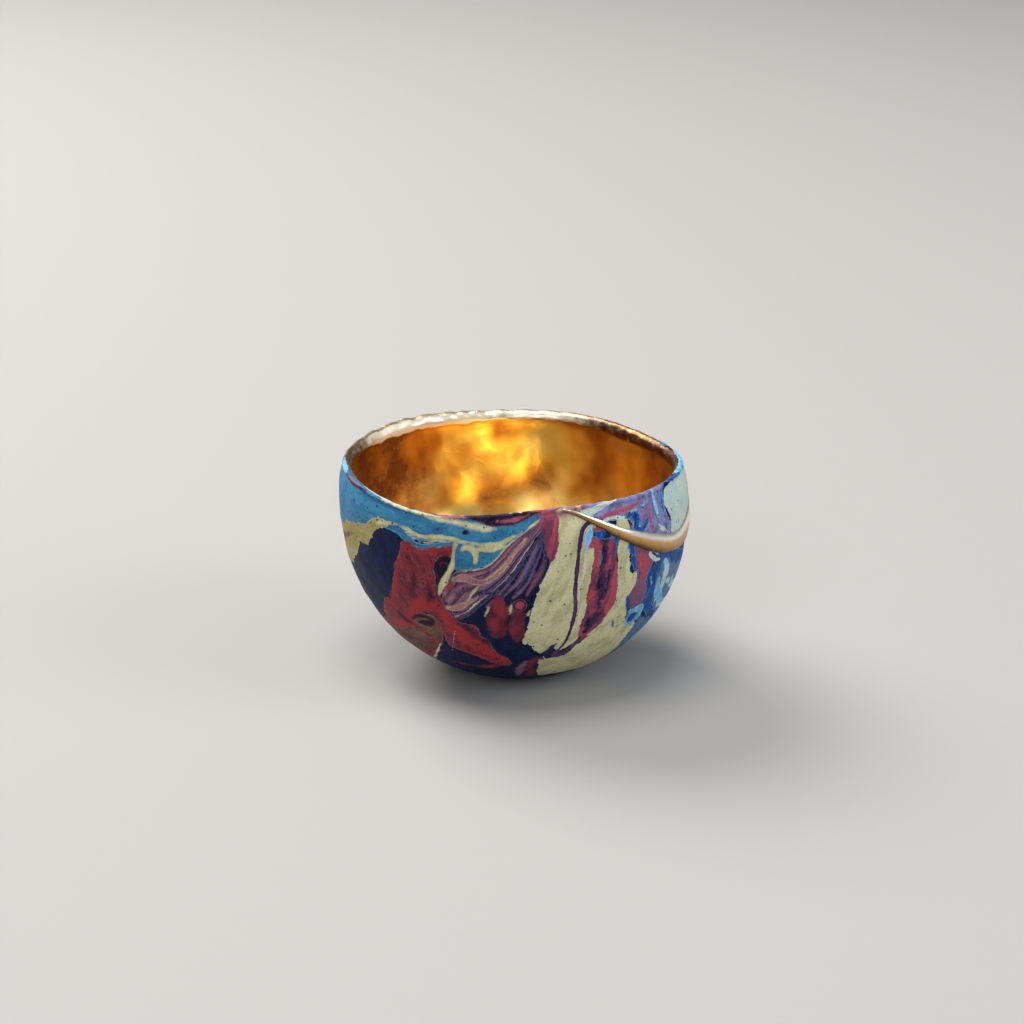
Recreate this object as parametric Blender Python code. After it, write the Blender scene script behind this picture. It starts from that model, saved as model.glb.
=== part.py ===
# Kintsugi sake cup: a hand-pinched clay bowl on a small flat foot, with a gold lacquer seam
# let into a crack in its right-hand wall. Metres, +Z up. The origin is the middle of the foot,
# on the table. Azimuth 0 is the front (-Y) and azimuths grow towards the right (+X).

import math
import random

import bmesh
import bpy
from mathutils import Vector

MM = 0.001

# Outer shape of the bowl
belly_radius = 35.0 * MM
belly_height = 37.0 * MM
rim_height = 43.3 * MM
foot_radius = 9.0 * MM
rim_inset = 1.1 * MM  # how far the lip draws in from the belly
heel_roundness = 1.35  # exponent of the radius, from the foot out to the belly
rise_sharpness = 0.80  # exponent of the height, from the foot up to the belly
rim_lean = Vector((-1.2 * MM, 0.0, 0.0))  # the rim's middle from the foot's middle

# Wall, from the middle of the floor up to the lip
floor_thickness = 3.2 * MM
heel_thickness = 3.8 * MM
wall_thickness = 2.6 * MM
lip_thickness = 2.0 * MM

# Hand-made unevenness: waves round the cup, size, azimuth of one crest in degrees
rim_waves = ((2, 0.70 * MM, 44.0), (3, 0.23 * MM, 38.0), (4, 0.12 * MM, 15.0), (5, 0.30 * MM, 9.0))
plan_waves = ((3, 0.08 * MM, 62.0), (4, 0.14 * MM, -25.0))

# Finger presses inside the bowl
press_count = 60
press_depth = 0.40 * MM
press_radius = 4.5 * MM
press_seed = 11
press_jitter = math.radians(17.0)  # how far a press may stray from its even place round the cup

# Gold seam, at its deepest, widest and proudest
seam_depth = 12.3 * MM  # of its middle line below the lip, measured down the wall
seam_half_width = 2.6 * MM
seam_proud = 0.65 * MM  # how far it stands out of the wall
# Its course: azimuth in degrees, then the depth, half width and height as shares of those sizes
seam_stations = (
    (17.0, 0.057, 0.085, 0.18),
    (20.0, 0.106, 0.154, 0.31),
    (25.0, 0.220, 0.238, 0.46),
    (30.0, 0.341, 0.315, 0.62),
    (35.0, 0.472, 0.423, 0.77),
    (40.0, 0.593, 0.519, 0.89),
    (45.0, 0.707, 0.615, 0.95),
    (50.0, 0.813, 0.712, 1.00),
    (55.0, 0.902, 0.750, 1.00),
    (60.0, 0.967, 0.731, 0.95),
    (66.0, 1.000, 0.808, 0.85),
    (72.0, 0.992, 0.942, 0.69),
    (78.0, 0.967, 1.000, 0.55),
    (84.0, 0.927, 0.942, 0.46),
    (90.0, 0.837, 0.808, 0.46),
    (97.0, 0.667, 0.615, 0.46),
    (104.0, 0.455, 0.442, 0.43),
    (110.0, 0.268, 0.288, 0.38),
    (115.0, 0.122, 0.162, 0.31),
)
seam_root = 0.55 * MM  # how deep the widest part is let into the wall
seam_gap = 0.30 * MM  # between the seam and its groove
groove_opening = 1.5 * MM  # how far the groove's cutter stands out of the wall

# Fineness of the meshes
around = 72
wall_rows = 19
upper_rows = 4
lip_rows = 5
foot_rows = 2
seam_steps = 54
seam_sides = 10
sharp_angle = math.radians(40.0)


def material(name, colour, roughness, metallic):
    made = bpy.data.materials.new(name)
    made.use_nodes = True
    shader = made.node_tree.nodes["Principled BSDF"]
    shader.inputs["Base Color"].default_value = (*colour, 1.0)
    shader.inputs["Roughness"].default_value = roughness
    shader.inputs["Metallic"].default_value = metallic
    return made


def blend(low, high, share):
    share = min(1.0, max(0.0, share))
    return low + (high - low) * share * share * (3.0 - 2.0 * share)


def waves(parts, azimuth):
    return sum(size * math.cos(count * (azimuth - math.radians(crest))) for count, size, crest in parts)


# Outer profile as (radius, height): the quarter curve from the foot to the belly, then the upper wall
def profile():
    points = [(foot_radius * i / foot_rows, 0.0) for i in range(foot_rows)]
    for i in range(wall_rows):
        turn = math.pi / 2 * i / wall_rows
        radius = foot_radius + (belly_radius - foot_radius) * math.sin(turn) ** heel_roundness
        height = belly_height * (1.0 - math.cos(turn) ** rise_sharpness)
        points.append((radius, height))
    shoulder = rim_height - lip_thickness / 2
    for i in range(upper_rows + 1):
        share = i / upper_rows
        radius = belly_radius - rim_inset * share * share
        points.append((radius, belly_height + (shoulder - belly_height) * share))
    return points


def normals(points):
    found = []
    for i in range(len(points)):
        before = points[max(0, i - 1)]
        after = points[min(len(points) - 1, i + 1)]
        run, rise = after[0] - before[0], after[1] - before[1]
        length = math.hypot(run, rise)
        found.append((-rise / length, run / length))
    return found


def lengths(points):
    found = [0.0]
    for before, after in zip(points, points[1:]):
        found.append(found[-1] + math.hypot(after[0] - before[0], after[1] - before[1]))
    return found


# Thickness of the clay at a distance from the middle of the foot, measured along the outer profile
def thickness(along, belly_at, rim_at):
    if along < foot_radius:
        return blend(floor_thickness, heel_thickness, along / foot_radius)
    if along < belly_at:
        return blend(heel_thickness, wall_thickness, (along - foot_radius) / (belly_at - foot_radius))
    return blend(wall_thickness, lip_thickness, (along - belly_at) / (rim_at - belly_at))


# Puts a point of the round profile where the uneven, leaning cup has it
def place(radius, height, azimuth):
    radius = radius * (1.0 + waves(plan_waves, azimuth) / belly_radius)
    if height > belly_height:
        height += waves(rim_waves, azimuth) * (height - belly_height) / (rim_height - belly_height)
    shift = rim_lean * (height / rim_height)
    return Vector((radius * math.sin(azimuth), -radius * math.cos(azimuth), height)) + shift


# Middles of the finger presses, as azimuth and height
def presses():
    rng = random.Random(press_seed)
    low, high = floor_thickness, rim_height - 2 * lip_thickness
    golden = math.pi * (3.0 - math.sqrt(5.0))
    return [
        (
            i * golden + rng.uniform(-press_jitter, press_jitter),
            low + (high - low) * (i + rng.random()) / press_count,
        )
        for i in range(press_count)
    ]


def press_at(spots, radius, height, azimuth):
    deepest = 0.0
    for spot_azimuth, spot_height in spots:
        turn = math.remainder(azimuth - spot_azimuth, 2 * math.pi)
        away = math.hypot(turn * radius, height - spot_height) / press_radius
        deepest = max(deepest, math.exp(-away * away))
    return press_depth * deepest


# A closed body through a row of rings, with a single point at each end
def ring_mesh(name, rings, first, last):
    mesh = bmesh.new()
    start = mesh.verts.new(first)
    rows = [[mesh.verts.new(point) for point in ring] for ring in rings]
    end = mesh.verts.new(last)
    count = len(rings[0])
    for i in range(count):
        j = (i + 1) % count
        mesh.faces.new((start, rows[0][j], rows[0][i]))
        mesh.faces.new((end, rows[-1][i], rows[-1][j]))
        for lower, upper in zip(rows, rows[1:]):
            mesh.faces.new((lower[i], lower[j], upper[j], upper[i]))
    bmesh.ops.recalc_face_normals(mesh, faces=mesh.faces)
    data = bpy.data.meshes.new(name)
    mesh.to_mesh(data)
    mesh.free()
    data.shade_smooth()
    data.set_sharp_from_angle(angle=sharp_angle)
    made = bpy.data.objects.new(name, data)
    bpy.context.scene.collection.objects.link(made)
    return made


# Inner profile: the outer one, moved in by the thickness of the clay
def inner_profile(outer, along):
    belly_at = along[foot_rows + wall_rows]
    inner = []
    for (radius, height), (right, up), distance in zip(outer, normals(outer), along):
        wall = thickness(distance, belly_at, along[-1])
        inner.append((radius + right * wall, height + up * wall))
    return inner


def make_bowl():
    outer = profile()
    inner = inner_profile(outer, lengths(outer))
    # the lip is a half round from the outer shoulder over to the inner one
    (out_r, out_z), (in_r, in_z) = outer[-1], inner[-1]
    middle_r, middle_z = (out_r + in_r) / 2, (out_z + in_z) / 2
    lip = []
    for i in range(1, lip_rows):
        turn = math.pi * i / lip_rows
        swing_r, swing_z = (out_r - middle_r) * math.cos(turn), (out_z - middle_z) * math.cos(turn)
        lip.append((middle_r + swing_r, middle_z + swing_z + lip_thickness / 2 * math.sin(turn)))
    spots = presses()
    rings = []
    for radius, height in outer[1:] + lip:
        rings.append([place(radius, height, 2 * math.pi * i / around) for i in range(around)])
    for radius, height in reversed(inner[1:]):
        ring = []
        for i in range(around):
            azimuth = 2 * math.pi * i / around
            fade = min(1.0, (in_z - height) / press_radius)
            pressed = radius + fade * press_at(spots, radius, height, azimuth) * radius / belly_radius
            ring.append(place(pressed, height, azimuth))
        rings.append(ring)
    bowl = ring_mesh("cup_bowl", rings, place(0.0, 0.0, 0.0), place(0.0, inner[0][1], 0.0))
    bowl.data.materials.append(material("marbled_clay", (0.12, 0.20, 0.36), 0.62, 0.0))
    return bowl


# A point of the outer wall a given depth below the lip's shoulder, measured down the wall
def wall_point(outer, along, azimuth, depth):
    target = along[-1] + lip_thickness / 2 - depth
    for i in range(len(outer) - 1):
        if along[i + 1] >= target or i == len(outer) - 2:
            share = (target - along[i]) / (along[i + 1] - along[i])
            radius = outer[i][0] + (outer[i + 1][0] - outer[i][0]) * share
            height = outer[i][1] + (outer[i + 1][1] - outer[i][1]) * share
            return place(radius, height, azimuth)
    return None


def wall_normal(outer, along, azimuth, depth):
    step = 0.5 * MM
    turn = step / belly_radius
    across = wall_point(outer, along, azimuth + turn, depth) - wall_point(outer, along, azimuth - turn, depth)
    down = wall_point(outer, along, azimuth, depth + step) - wall_point(outer, along, azimuth, depth - step)
    out = down.cross(across).normalized()
    return out if out.dot(Vector((math.sin(azimuth), -math.cos(azimuth), 0.0))) > 0 else -out


# Azimuth, depth, half width and height of the seam at a share of its length, smoothly through
# the stations
def seam_at(share):
    last = len(seam_stations) - 1
    i = min(int(share * last), last - 1)
    t = share * last - i
    four = [seam_stations[min(max(k, 0), last)] for k in (i - 1, i, i + 1, i + 2)]
    degrees, depth, half, height = [
        0.5 * (2 * b + (c - a) * t + (2 * a - 5 * b + 4 * c - d) * t * t + (3 * b - a - 3 * c + d) * t**3)
        for a, b, c, d in zip(*four)
    ]
    return math.radians(degrees), depth * seam_depth, half * seam_half_width, height * seam_proud


# The seam's own form when margin is 0. Its groove is the same form grown all round by a margin
# and standing out of the wall by opening.
def seam_body(name, margin=0.0, opening=None):
    outer = profile()
    along = lengths(outer)
    middles, outs, halves, heights = [], [], [], []
    for i in range(seam_steps + 1):
        azimuth, depth, half, height = seam_at(i / seam_steps)
        middles.append(wall_point(outer, along, azimuth, depth))
        outs.append(wall_normal(outer, along, azimuth, depth))
        halves.append(half)
        heights.append(height)
    rings = []
    for i, (middle, out, half) in enumerate(zip(middles, outs, halves)):
        ahead = middles[min(i + 1, seam_steps)] - middles[max(i - 1, 0)]
        side = out.cross(ahead).normalized()
        proud = opening or heights[i]
        root = seam_root * math.sqrt(half / seam_half_width) + margin
        ring = []
        for k in range(seam_sides):
            turn = 2 * math.pi * (k + 0.5) / seam_sides
            reach = proud if math.sin(turn) > 0 else root
            ring.append(middle + side * ((half + margin) * math.cos(turn)) + out * (reach * math.sin(turn)))
        rings.append(ring)
    start = middles[0] - (middles[1] - middles[0]).normalized() * (halves[0] + margin)
    end = middles[-1] + (middles[-1] - middles[-2]).normalized() * (halves[-1] + margin)
    return ring_mesh(name, rings, start, end)


def make_seam():
    seam = seam_body("kintsugi_seam")
    seam.data.materials.append(material("gold_lacquer", (0.72, 0.50, 0.22), 0.35, 1.0))
    return seam


def cut_groove(bowl):
    cutter = seam_body("groove_cutter", seam_gap, groove_opening)
    cutter.hide_render = True
    cutter.display_type = "WIRE"
    cut = bowl.modifiers.new("seam_groove", "BOOLEAN")
    cut.operation = "DIFFERENCE"
    cut.solver = "EXACT"
    cut.object = cutter
    return cutter


for old in list(bpy.data.objects):
    bpy.data.objects.remove(old)
cup = bpy.data.objects.new("kintsugi_sake_cup", None)
bpy.context.scene.collection.objects.link(cup)
cup_bowl = make_bowl()
for piece in (cup_bowl, make_seam(), cut_groove(cup_bowl)):
    piece.parent = cup
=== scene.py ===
import math
import random

import bpy
import numpy as np
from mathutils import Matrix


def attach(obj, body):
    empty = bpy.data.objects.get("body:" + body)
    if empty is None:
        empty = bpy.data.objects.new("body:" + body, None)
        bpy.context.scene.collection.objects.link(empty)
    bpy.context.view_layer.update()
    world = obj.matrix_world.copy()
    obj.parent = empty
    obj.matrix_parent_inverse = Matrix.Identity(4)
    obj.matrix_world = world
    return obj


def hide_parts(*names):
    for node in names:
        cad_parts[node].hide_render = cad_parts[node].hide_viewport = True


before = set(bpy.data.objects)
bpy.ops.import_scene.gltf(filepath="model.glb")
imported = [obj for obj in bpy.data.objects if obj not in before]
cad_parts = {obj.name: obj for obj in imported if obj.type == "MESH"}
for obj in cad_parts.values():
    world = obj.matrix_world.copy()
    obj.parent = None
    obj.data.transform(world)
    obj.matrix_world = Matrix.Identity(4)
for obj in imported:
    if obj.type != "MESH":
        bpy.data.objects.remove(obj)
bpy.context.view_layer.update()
mm = 0.001
tiny = 1e-9  # keeps divisions away from zero
print("frame loaded, nodes:", ", ".join(sorted(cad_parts)))


# Colours are typed as 8-bit screen values and turned into linear light
def paint(red, green, blue):
    channels = [value / 255 for value in (red, green, blue)]
    return tuple(c / 12.92 if c <= 0.04045 else ((c + 0.055) / 1.055) ** 2.4 for c in channels) + (1.0,)


def addPiece(name, points, faces):
    mesh = bpy.data.meshes.new(name)
    mesh.from_pydata(points, [], faces)
    mesh.shade_smooth()
    mesh.update()
    piece = bpy.data.objects.new(name, mesh)
    bpy.context.scene.collection.objects.link(piece)
    return piece


# Camera

view = {
    "lens": 90.0,
    "sensor": 36.0,
    "target": (-1.18 * mm, 0.0, 20.0 * mm),
    "distance": 517.9 * mm,
    "elevation": 20.58,  # degrees above the table
    "lookDown": 19.36,
    "turnLeft": 0.012,
    "nearest": 10 * mm,
}


def addCamera():
    lens = bpy.data.cameras.new("camera")
    lens.lens = view["lens"]
    lens.sensor_width = view["sensor"]
    lens.clip_start = view["nearest"]
    camera = bpy.data.objects.new("camera", lens)
    rise = math.radians(view["elevation"])
    x, y, z = view["target"]
    back = view["distance"] * math.cos(rise)
    camera.location = (x, y - back, z + view["distance"] * math.sin(rise))
    camera.rotation_euler = (math.radians(90 - view["lookDown"]), 0.0, math.radians(view["turnLeft"]))
    bpy.context.scene.collection.objects.link(camera)
    bpy.context.scene.camera = camera


addCamera()
print("camera placed")


# Shape of the bowl, in millimetres. Azimuth 0 is the front and grows to the right.

bowl = {
    "bellyRadius": 35.0,
    "bellyHeight": 37.0,
    "rimHeight": 43.3,
    "footRadius": 9.0,
    "rimInset": 1.1,
    "heelRoundness": 1.35,
    "riseSharpness": 0.80,
    "rimLean": -1.2,
    "floorThickness": 3.2,
    "heelThickness": 3.8,
    "wallThickness": 2.6,
    "lipThickness": 2.0,
    "rimWaves": ((2, 0.70, 44.0), (3, 0.23, 38.0), (4, 0.12, 15.0), (5, 0.30, 9.0)),
    "planWaves": ((3, 0.08, 62.0), (4, 0.14, -25.0)),
    "profileSteps": (900, 120),  # below the belly and above it
    "pressCount": 60,
    "pressDepth": 0.40,
    "pressRadius": 4.5,
    "pressSeed": 11,
    "pressJitter": math.radians(17.0),
    "frontColumns": 340,  # over the front, where the marbling is finest
    "backColumns": 140,
    "frontSpan": 100.0,  # degrees to each side
    "footRows": 18,
    "footSpan": 20.0,
    "wallRows": 102,
    "lipRows": 14,
    "innerRows": 60,
    "firstRow": 0.6,  # the outer and inner rows nearest to the axis
    "lastRow": 0.8,
    "dent": (0.05, 3, 7.0),  # depth, seed and length of the dents outside
    "dentBias": 3.4,  # keeps the dents within the CAD wall
    "dentStart": 6.0,  # past the foot, where the dents have their full depth
    "lumps": (0.20, 5, 3.2),  # height, seed and length of the gilded lumps on the lip
    "lumpPeak": math.radians(-145.0),  # where the lip is lumpiest, at the back left
    "lumpSpread": math.radians(38.0),
    "lumpLeast": 0.25,
    "lumpLimit": 0.06,
    "lumpFlare": 1.5,  # how much more the lumps stand out sideways
    "lipSink": 0.03,
    "leaf": ((0.15, 8, 19.0), (0.012, 9, 3.2)),  # depth, seed and length of the unevenness inside
    "leafSink": 0.05,
    "smoothFloor": (3.0, 14.0),  # radius over which presses and leaf fade in
    "paintOverLip": 0.62,  # share of the lip's half round that carries the outer material
}


def waves(parts, azimuth):
    return sum(size * np.cos(count * (azimuth - math.radians(crest))) for count, size, crest in parts)


def outerProfile():
    lowSteps, highSteps = bowl["profileSteps"]
    turn = np.linspace(0.0, math.pi / 2, lowSteps)[:-1]
    share = np.linspace(0.0, 1.0, highSteps)
    shoulder = bowl["rimHeight"] - bowl["lipThickness"] / 2
    spread = bowl["bellyRadius"] - bowl["footRadius"]
    low = bowl["footRadius"] + spread * np.sin(turn) ** bowl["heelRoundness"]
    high = bowl["bellyRadius"] - bowl["rimInset"] * share**2
    lowHeight = bowl["bellyHeight"] * (1 - np.cos(turn) ** bowl["riseSharpness"])
    highHeight = bowl["bellyHeight"] + (shoulder - bowl["bellyHeight"]) * share
    radius = np.concatenate([[0.0], low, high])
    height = np.concatenate([[0.0], lowHeight, highHeight])
    steps = np.hypot(np.diff(radius), np.diff(height))
    return radius, height, np.concatenate([[0.0], np.cumsum(steps)])


profileRadius, profileHeight, profileAlong = outerProfile()
shoulderAlong = float(profileAlong[-1])
bellyAlong = float(np.interp(bowl["bellyHeight"], profileHeight, profileAlong))


# Puts a point of the round profile where the uneven, leaning cup has it
def place(radius, height, azimuth):
    radius = radius * (1 + waves(bowl["planWaves"], azimuth) / bowl["bellyRadius"])
    above = np.clip((height - bowl["bellyHeight"]) / (bowl["rimHeight"] - bowl["bellyHeight"]), 0, None)
    height = height + waves(bowl["rimWaves"], azimuth) * above
    shift = bowl["rimLean"] * height / bowl["rimHeight"]
    return np.stack([radius * np.sin(azimuth) + shift, -radius * np.cos(azimuth), height], -1)


def onWall(degrees, along):
    radius = np.interp(along, profileAlong, profileRadius)
    height = np.interp(along, profileAlong, profileHeight) + np.clip(along - shoulderAlong, 0, None)
    return place(radius, height, np.radians(degrees))


uneven = {
    "waves": 26,  # added up to one relief
    "lengths": (0.7, 1.5),  # shares of the given length that they have
}


# Uneven relief that closes on itself round the cup
def ripples(azimuth, along, strength, seed, waveLength):
    rng = np.random.default_rng(seed)
    total = 0.0
    for _ in range(uneven["waves"]):
        heading = rng.uniform(0, 2 * math.pi)
        length = waveLength * rng.uniform(*uneven["lengths"])
        around = round(math.cos(heading) * 2 * math.pi * bowl["bellyRadius"] / length)
        upward = math.sin(heading) * 2 * math.pi / length
        total = total + np.cos(around * azimuth + upward * along + rng.uniform(0, 2 * math.pi))
    return strength * (total / math.sqrt(uneven["waves"] / 2))


# The same kind of relief from places in space, so that it has no star in the middle of the floor
def spaceRipples(spots, strength, seed, waveLength):
    rng = np.random.default_rng(seed)
    total = 0.0
    for _ in range(uneven["waves"]):
        heading = rng.normal(size=3)
        length = waveLength * rng.uniform(*uneven["lengths"]) * np.linalg.norm(heading)
        total = total + np.cos(spots @ heading * 2 * math.pi / length + rng.uniform(0, 2 * math.pi))
    return strength * (total / math.sqrt(uneven["waves"] / 2))


def smooth(low, high, value):
    share = np.clip((value - low) / (high - low), 0, 1)
    return share * share * (3 - 2 * share)


# Shortest turn from one azimuth to another
def turnFrom(start, azimuth, fullTurn):
    return np.remainder(azimuth - start + fullTurn / 2, fullTurn) - fullTurn / 2


# Smooth line through the given points, in every value that they carry
def smoothLine(points, closed, steps):
    given = np.array(points, float)
    count = len(given)
    line = []
    for i in range(count if closed else count - 1):
        picks = [(i + k) % count if closed else min(max(i + k, 0), count - 1) for k in (-1, 0, 1, 2)]
        a, b, c, d = given[picks]
        square, cube = 2 * a - 5 * b + 4 * c - d, 3 * b - a - 3 * c + d
        line += [0.5 * (2 * b + (c - a) * t + square * t**2 + cube * t**3) for t in np.arange(steps) / steps]
    line.append(given[0] if closed else given[-1])
    return np.array(line)


def clayThickness(along):
    toHeel = smooth(0, bowl["footRadius"], along)
    toBelly = smooth(bowl["footRadius"], bellyAlong, along)
    toRim = smooth(bellyAlong, shoulderAlong, along)
    thick = bowl["floorThickness"] + (bowl["heelThickness"] - bowl["floorThickness"]) * toHeel
    thick = thick + (bowl["wallThickness"] - bowl["heelThickness"]) * toBelly
    return thick + (bowl["lipThickness"] - bowl["wallThickness"]) * toRim


# Finger presses that the potter left inside
def fingerPresses(radius, height, azimuth):
    rng = random.Random(bowl["pressSeed"])
    low = bowl["floorThickness"]
    high = bowl["rimHeight"] - 2 * bowl["lipThickness"]
    golden = math.pi * (3 - math.sqrt(5))
    deepest = np.zeros_like(azimuth)
    for i in range(bowl["pressCount"]):
        spotAzimuth = i * golden + rng.uniform(-bowl["pressJitter"], bowl["pressJitter"])
        spotHeight = low + (high - low) * (i + rng.random()) / bowl["pressCount"]
        turn = turnFrom(spotAzimuth, azimuth, 2 * math.pi)
        away = np.hypot(turn * radius, height - spotHeight) / bowl["pressRadius"]
        deepest = np.maximum(deepest, np.exp(-away * away))
    return bowl["pressDepth"] * deepest


def lipLumps(azimuth):
    away = turnFrom(bowl["lumpPeak"], azimuth, 2 * math.pi) / bowl["lumpSpread"]
    strength = bowl["lumpLeast"] + (1 - bowl["lumpLeast"]) * np.exp(-(away**2))
    return strength * ripples(azimuth, 0.0, *bowl["lumps"])


def bowlRows():
    span = bowl["frontSpan"]
    front = np.linspace(-span, span, bowl["frontColumns"], endpoint=False)
    back = np.linspace(span, 360 - span, bowl["backColumns"], endpoint=False)
    azimuth = np.radians(np.concatenate([front, back]))
    rows, along, zone = [], [], []
    low = np.linspace(bowl["firstRow"], bowl["footSpan"], bowl["footRows"], endpoint=False)
    for distance in np.concatenate([low, np.linspace(bowl["footSpan"], shoulderAlong, bowl["wallRows"])]):
        radius = np.interp(distance, profileAlong, profileRadius)
        height = np.interp(distance, profileAlong, profileHeight)
        standing = smooth(bowl["footRadius"], bowl["footRadius"] + bowl["dentStart"], distance)
        dent = ripples(azimuth, distance, *bowl["dent"]) - bowl["dent"][0] * bowl["dentBias"]
        rows.append(place(radius + standing * dent, height, azimuth))
        along.append(distance)
        zone.append("outer")
    runR, runZ = np.gradient(profileRadius, profileAlong), np.gradient(profileHeight, profileAlong)
    thick = clayThickness(profileAlong)
    innerRadius, innerHeight = profileRadius - runZ * thick, profileHeight + runR * thick
    outR, outZ, inR, inZ = profileRadius[-1], profileHeight[-1], innerRadius[-1], innerHeight[-1]
    midR, midZ = (outR + inR) / 2, (outZ + inZ) / 2
    lumps = np.minimum(lipLumps(azimuth), bowl["lumpLimit"])
    for turn in np.linspace(0, math.pi, bowl["lipRows"] + 2)[1:-1]:
        swell = lumps * math.sin(turn)
        radius = midR + (outR - midR + swell * bowl["lumpFlare"]) * math.cos(turn)
        height = midZ + (outZ - midZ) * math.cos(turn)
        height = height + (bowl["lipThickness"] / 2 + swell - bowl["lipSink"]) * math.sin(turn)
        rows.append(place(radius, height, azimuth))
        along.append(shoulderAlong + turn * bowl["lipThickness"] / 2)
        zone.append("lip" if turn < math.pi * bowl["paintOverLip"] else "inner")
    for distance in np.linspace(shoulderAlong, bowl["lastRow"], bowl["innerRows"]):
        radius = np.interp(distance, profileAlong, innerRadius)
        height = np.interp(distance, profileAlong, innerHeight)
        fade = min(1.0, (inZ - height) / bowl["pressRadius"]) * smooth(*bowl["smoothFloor"], radius)
        spots = place(radius, height, azimuth)
        out = fingerPresses(radius, height, azimuth) * radius / bowl["bellyRadius"]
        out = fade * (out + sum(spaceRipples(spots, *layer) for layer in bowl["leaf"]))
        rows.append(place(radius + out - bowl["leafSink"], height, azimuth))
        along.append(2 * shoulderAlong + bowl["lipThickness"] * math.pi / 2 - distance)
        zone.append("inner")
    return azimuth, np.array(rows), np.array(along), zone, (0.0, float(innerHeight[0]))


def buildBowl():
    azimuth, rows, along, zone, poles = bowlRows()
    count = len(azimuth)
    ends = np.array([place(0.0, height, 0.0) for height in poles])
    points = np.concatenate([rows.reshape(-1, 3), ends]) * mm
    faces, gilt = [], []
    bottom, floor = len(points) - 2, len(points) - 1
    last = (len(rows) - 1) * count
    for i in range(count):
        j = (i + 1) % count
        faces += [(bottom, j, i), (floor, last + i, last + j)]
        gilt += [0, 1]
    for k in range(len(rows) - 1):
        inner = 1 if zone[k + 1] == "inner" else 0
        for i in range(count):
            j = (i + 1) % count
            faces.append((k * count + i, k * count + j, (k + 1) * count + j, (k + 1) * count + i))
            gilt.append(inner)
    piece = addPiece("sakeBowl", points.tolist(), faces)
    piece.data.polygons.foreach_set("material_index", gilt)
    degrees = np.degrees(azimuth)
    degrees = np.where(degrees > 180, degrees - 360, degrees)
    degrees = np.concatenate([np.tile(degrees, len(rows)), [0.0, 0.0]])
    distance = np.concatenate([np.repeat(along, count), [0.0, 2 * shoulderAlong]])
    return piece, degrees, distance


def storeValue(mesh, name, values):
    layer = mesh.attributes.new(name, "FLOAT", "POINT")
    layer.data.foreach_set("value", values.astype(np.float32))


sakeBowl, vertexDegrees, vertexAlong = buildBowl()
print("bowl built,", len(sakeBowl.data.polygons), "faces")


# Marbling. Each coat is one colour of paint, poured in order over the ones before it. A pour is
# an area, given by its outline, or a thread, given by its middle line with half a width in mm.
# Places are azimuth in degrees and the distance up the wall from the middle of the foot in mm.

colours = {
    "navy": paint(4, 14, 52),
    "ink": paint(16, 12, 38),
    "blue": paint(54, 122, 156),
    "deepBlue": paint(24, 82, 134),
    "royal": paint(17, 76, 156),
    "sky": paint(110, 186, 230),
    "cream": paint(206, 201, 158),
    "khaki": paint(160, 157, 116),
    "mint": paint(198, 214, 198),
    "ochre": paint(158, 140, 78),
    "red": paint(128, 43, 55),
    "brick": paint(160, 46, 48),
    "wine": paint(86, 30, 48),
    "rose": paint(174, 74, 90),
    "mauve": paint(126, 82, 108),
    "plum": paint(58, 38, 78),
    "salmon": paint(166, 116, 116),
    "lavender": paint(138, 138, 188),
    "slate": paint(96, 98, 140),
    "umber": paint(84, 54, 50),
    "clay": paint(118, 88, 66),
    "white": paint(222, 218, 205),
}
coats = []


# The second colour streaks the first along the flow, and the third draws the fine lines. Fray is how
# ragged the edge is, and softness how far it fades, in mm.
def addCoat(name, first, second, rim, streaks, fray, softness=0.05, flow=(0, 70), areas=(), threads=()):
    coats.append({
        "name": name, "paint": first, "second": second, "rim": rim, "streaks": streaks, "fray": fray,
        "softness": softness, "flow": flow, "areas": areas, "threads": threads,
    })


def circle(degrees, along, radius, sides=14):
    local = float(np.interp(along, profileAlong, profileRadius))
    turns = [2 * math.pi * i / sides for i in range(sides)]
    return [(degrees + math.degrees(radius / local) * math.cos(t), along + radius * math.sin(t)) for t in turns]


bundleLine = [
    (-20.5, 42.2), (-16, 43.8), (-12, 46.1), (-8, 48.4), (-4, 50.7), (0, 53.6), (4, 57.3), (9.5, 61.6),
]
bundleTop = [
    (-26, 47), (-23.5, 50), (-19.8, 52.4), (-14, 53.4), (-9, 54.2), (-5, 56.2), (-2, 58.4), (2, 60.4),
    (9.3, 63),
]
bundleStripes = [
    # share of the way from the lower edge to the upper one, and the paint that starts there
    (0.00, "plum"), (0.05, "white"), (0.08, "plum"), (0.13, "mauve"), (0.20, "navy"), (0.27, "slate"),
    (0.33, "mauve"), (0.41, "salmon"), (0.45, "plum"), (0.49, "mauve"), (0.60, "salmon"), (0.68, "mauve"),
    (0.74, "plum"), (0.78, "salmon"), (0.88, "mauve"), (0.95, "plum"), (0.98, "cream"),
]

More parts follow.
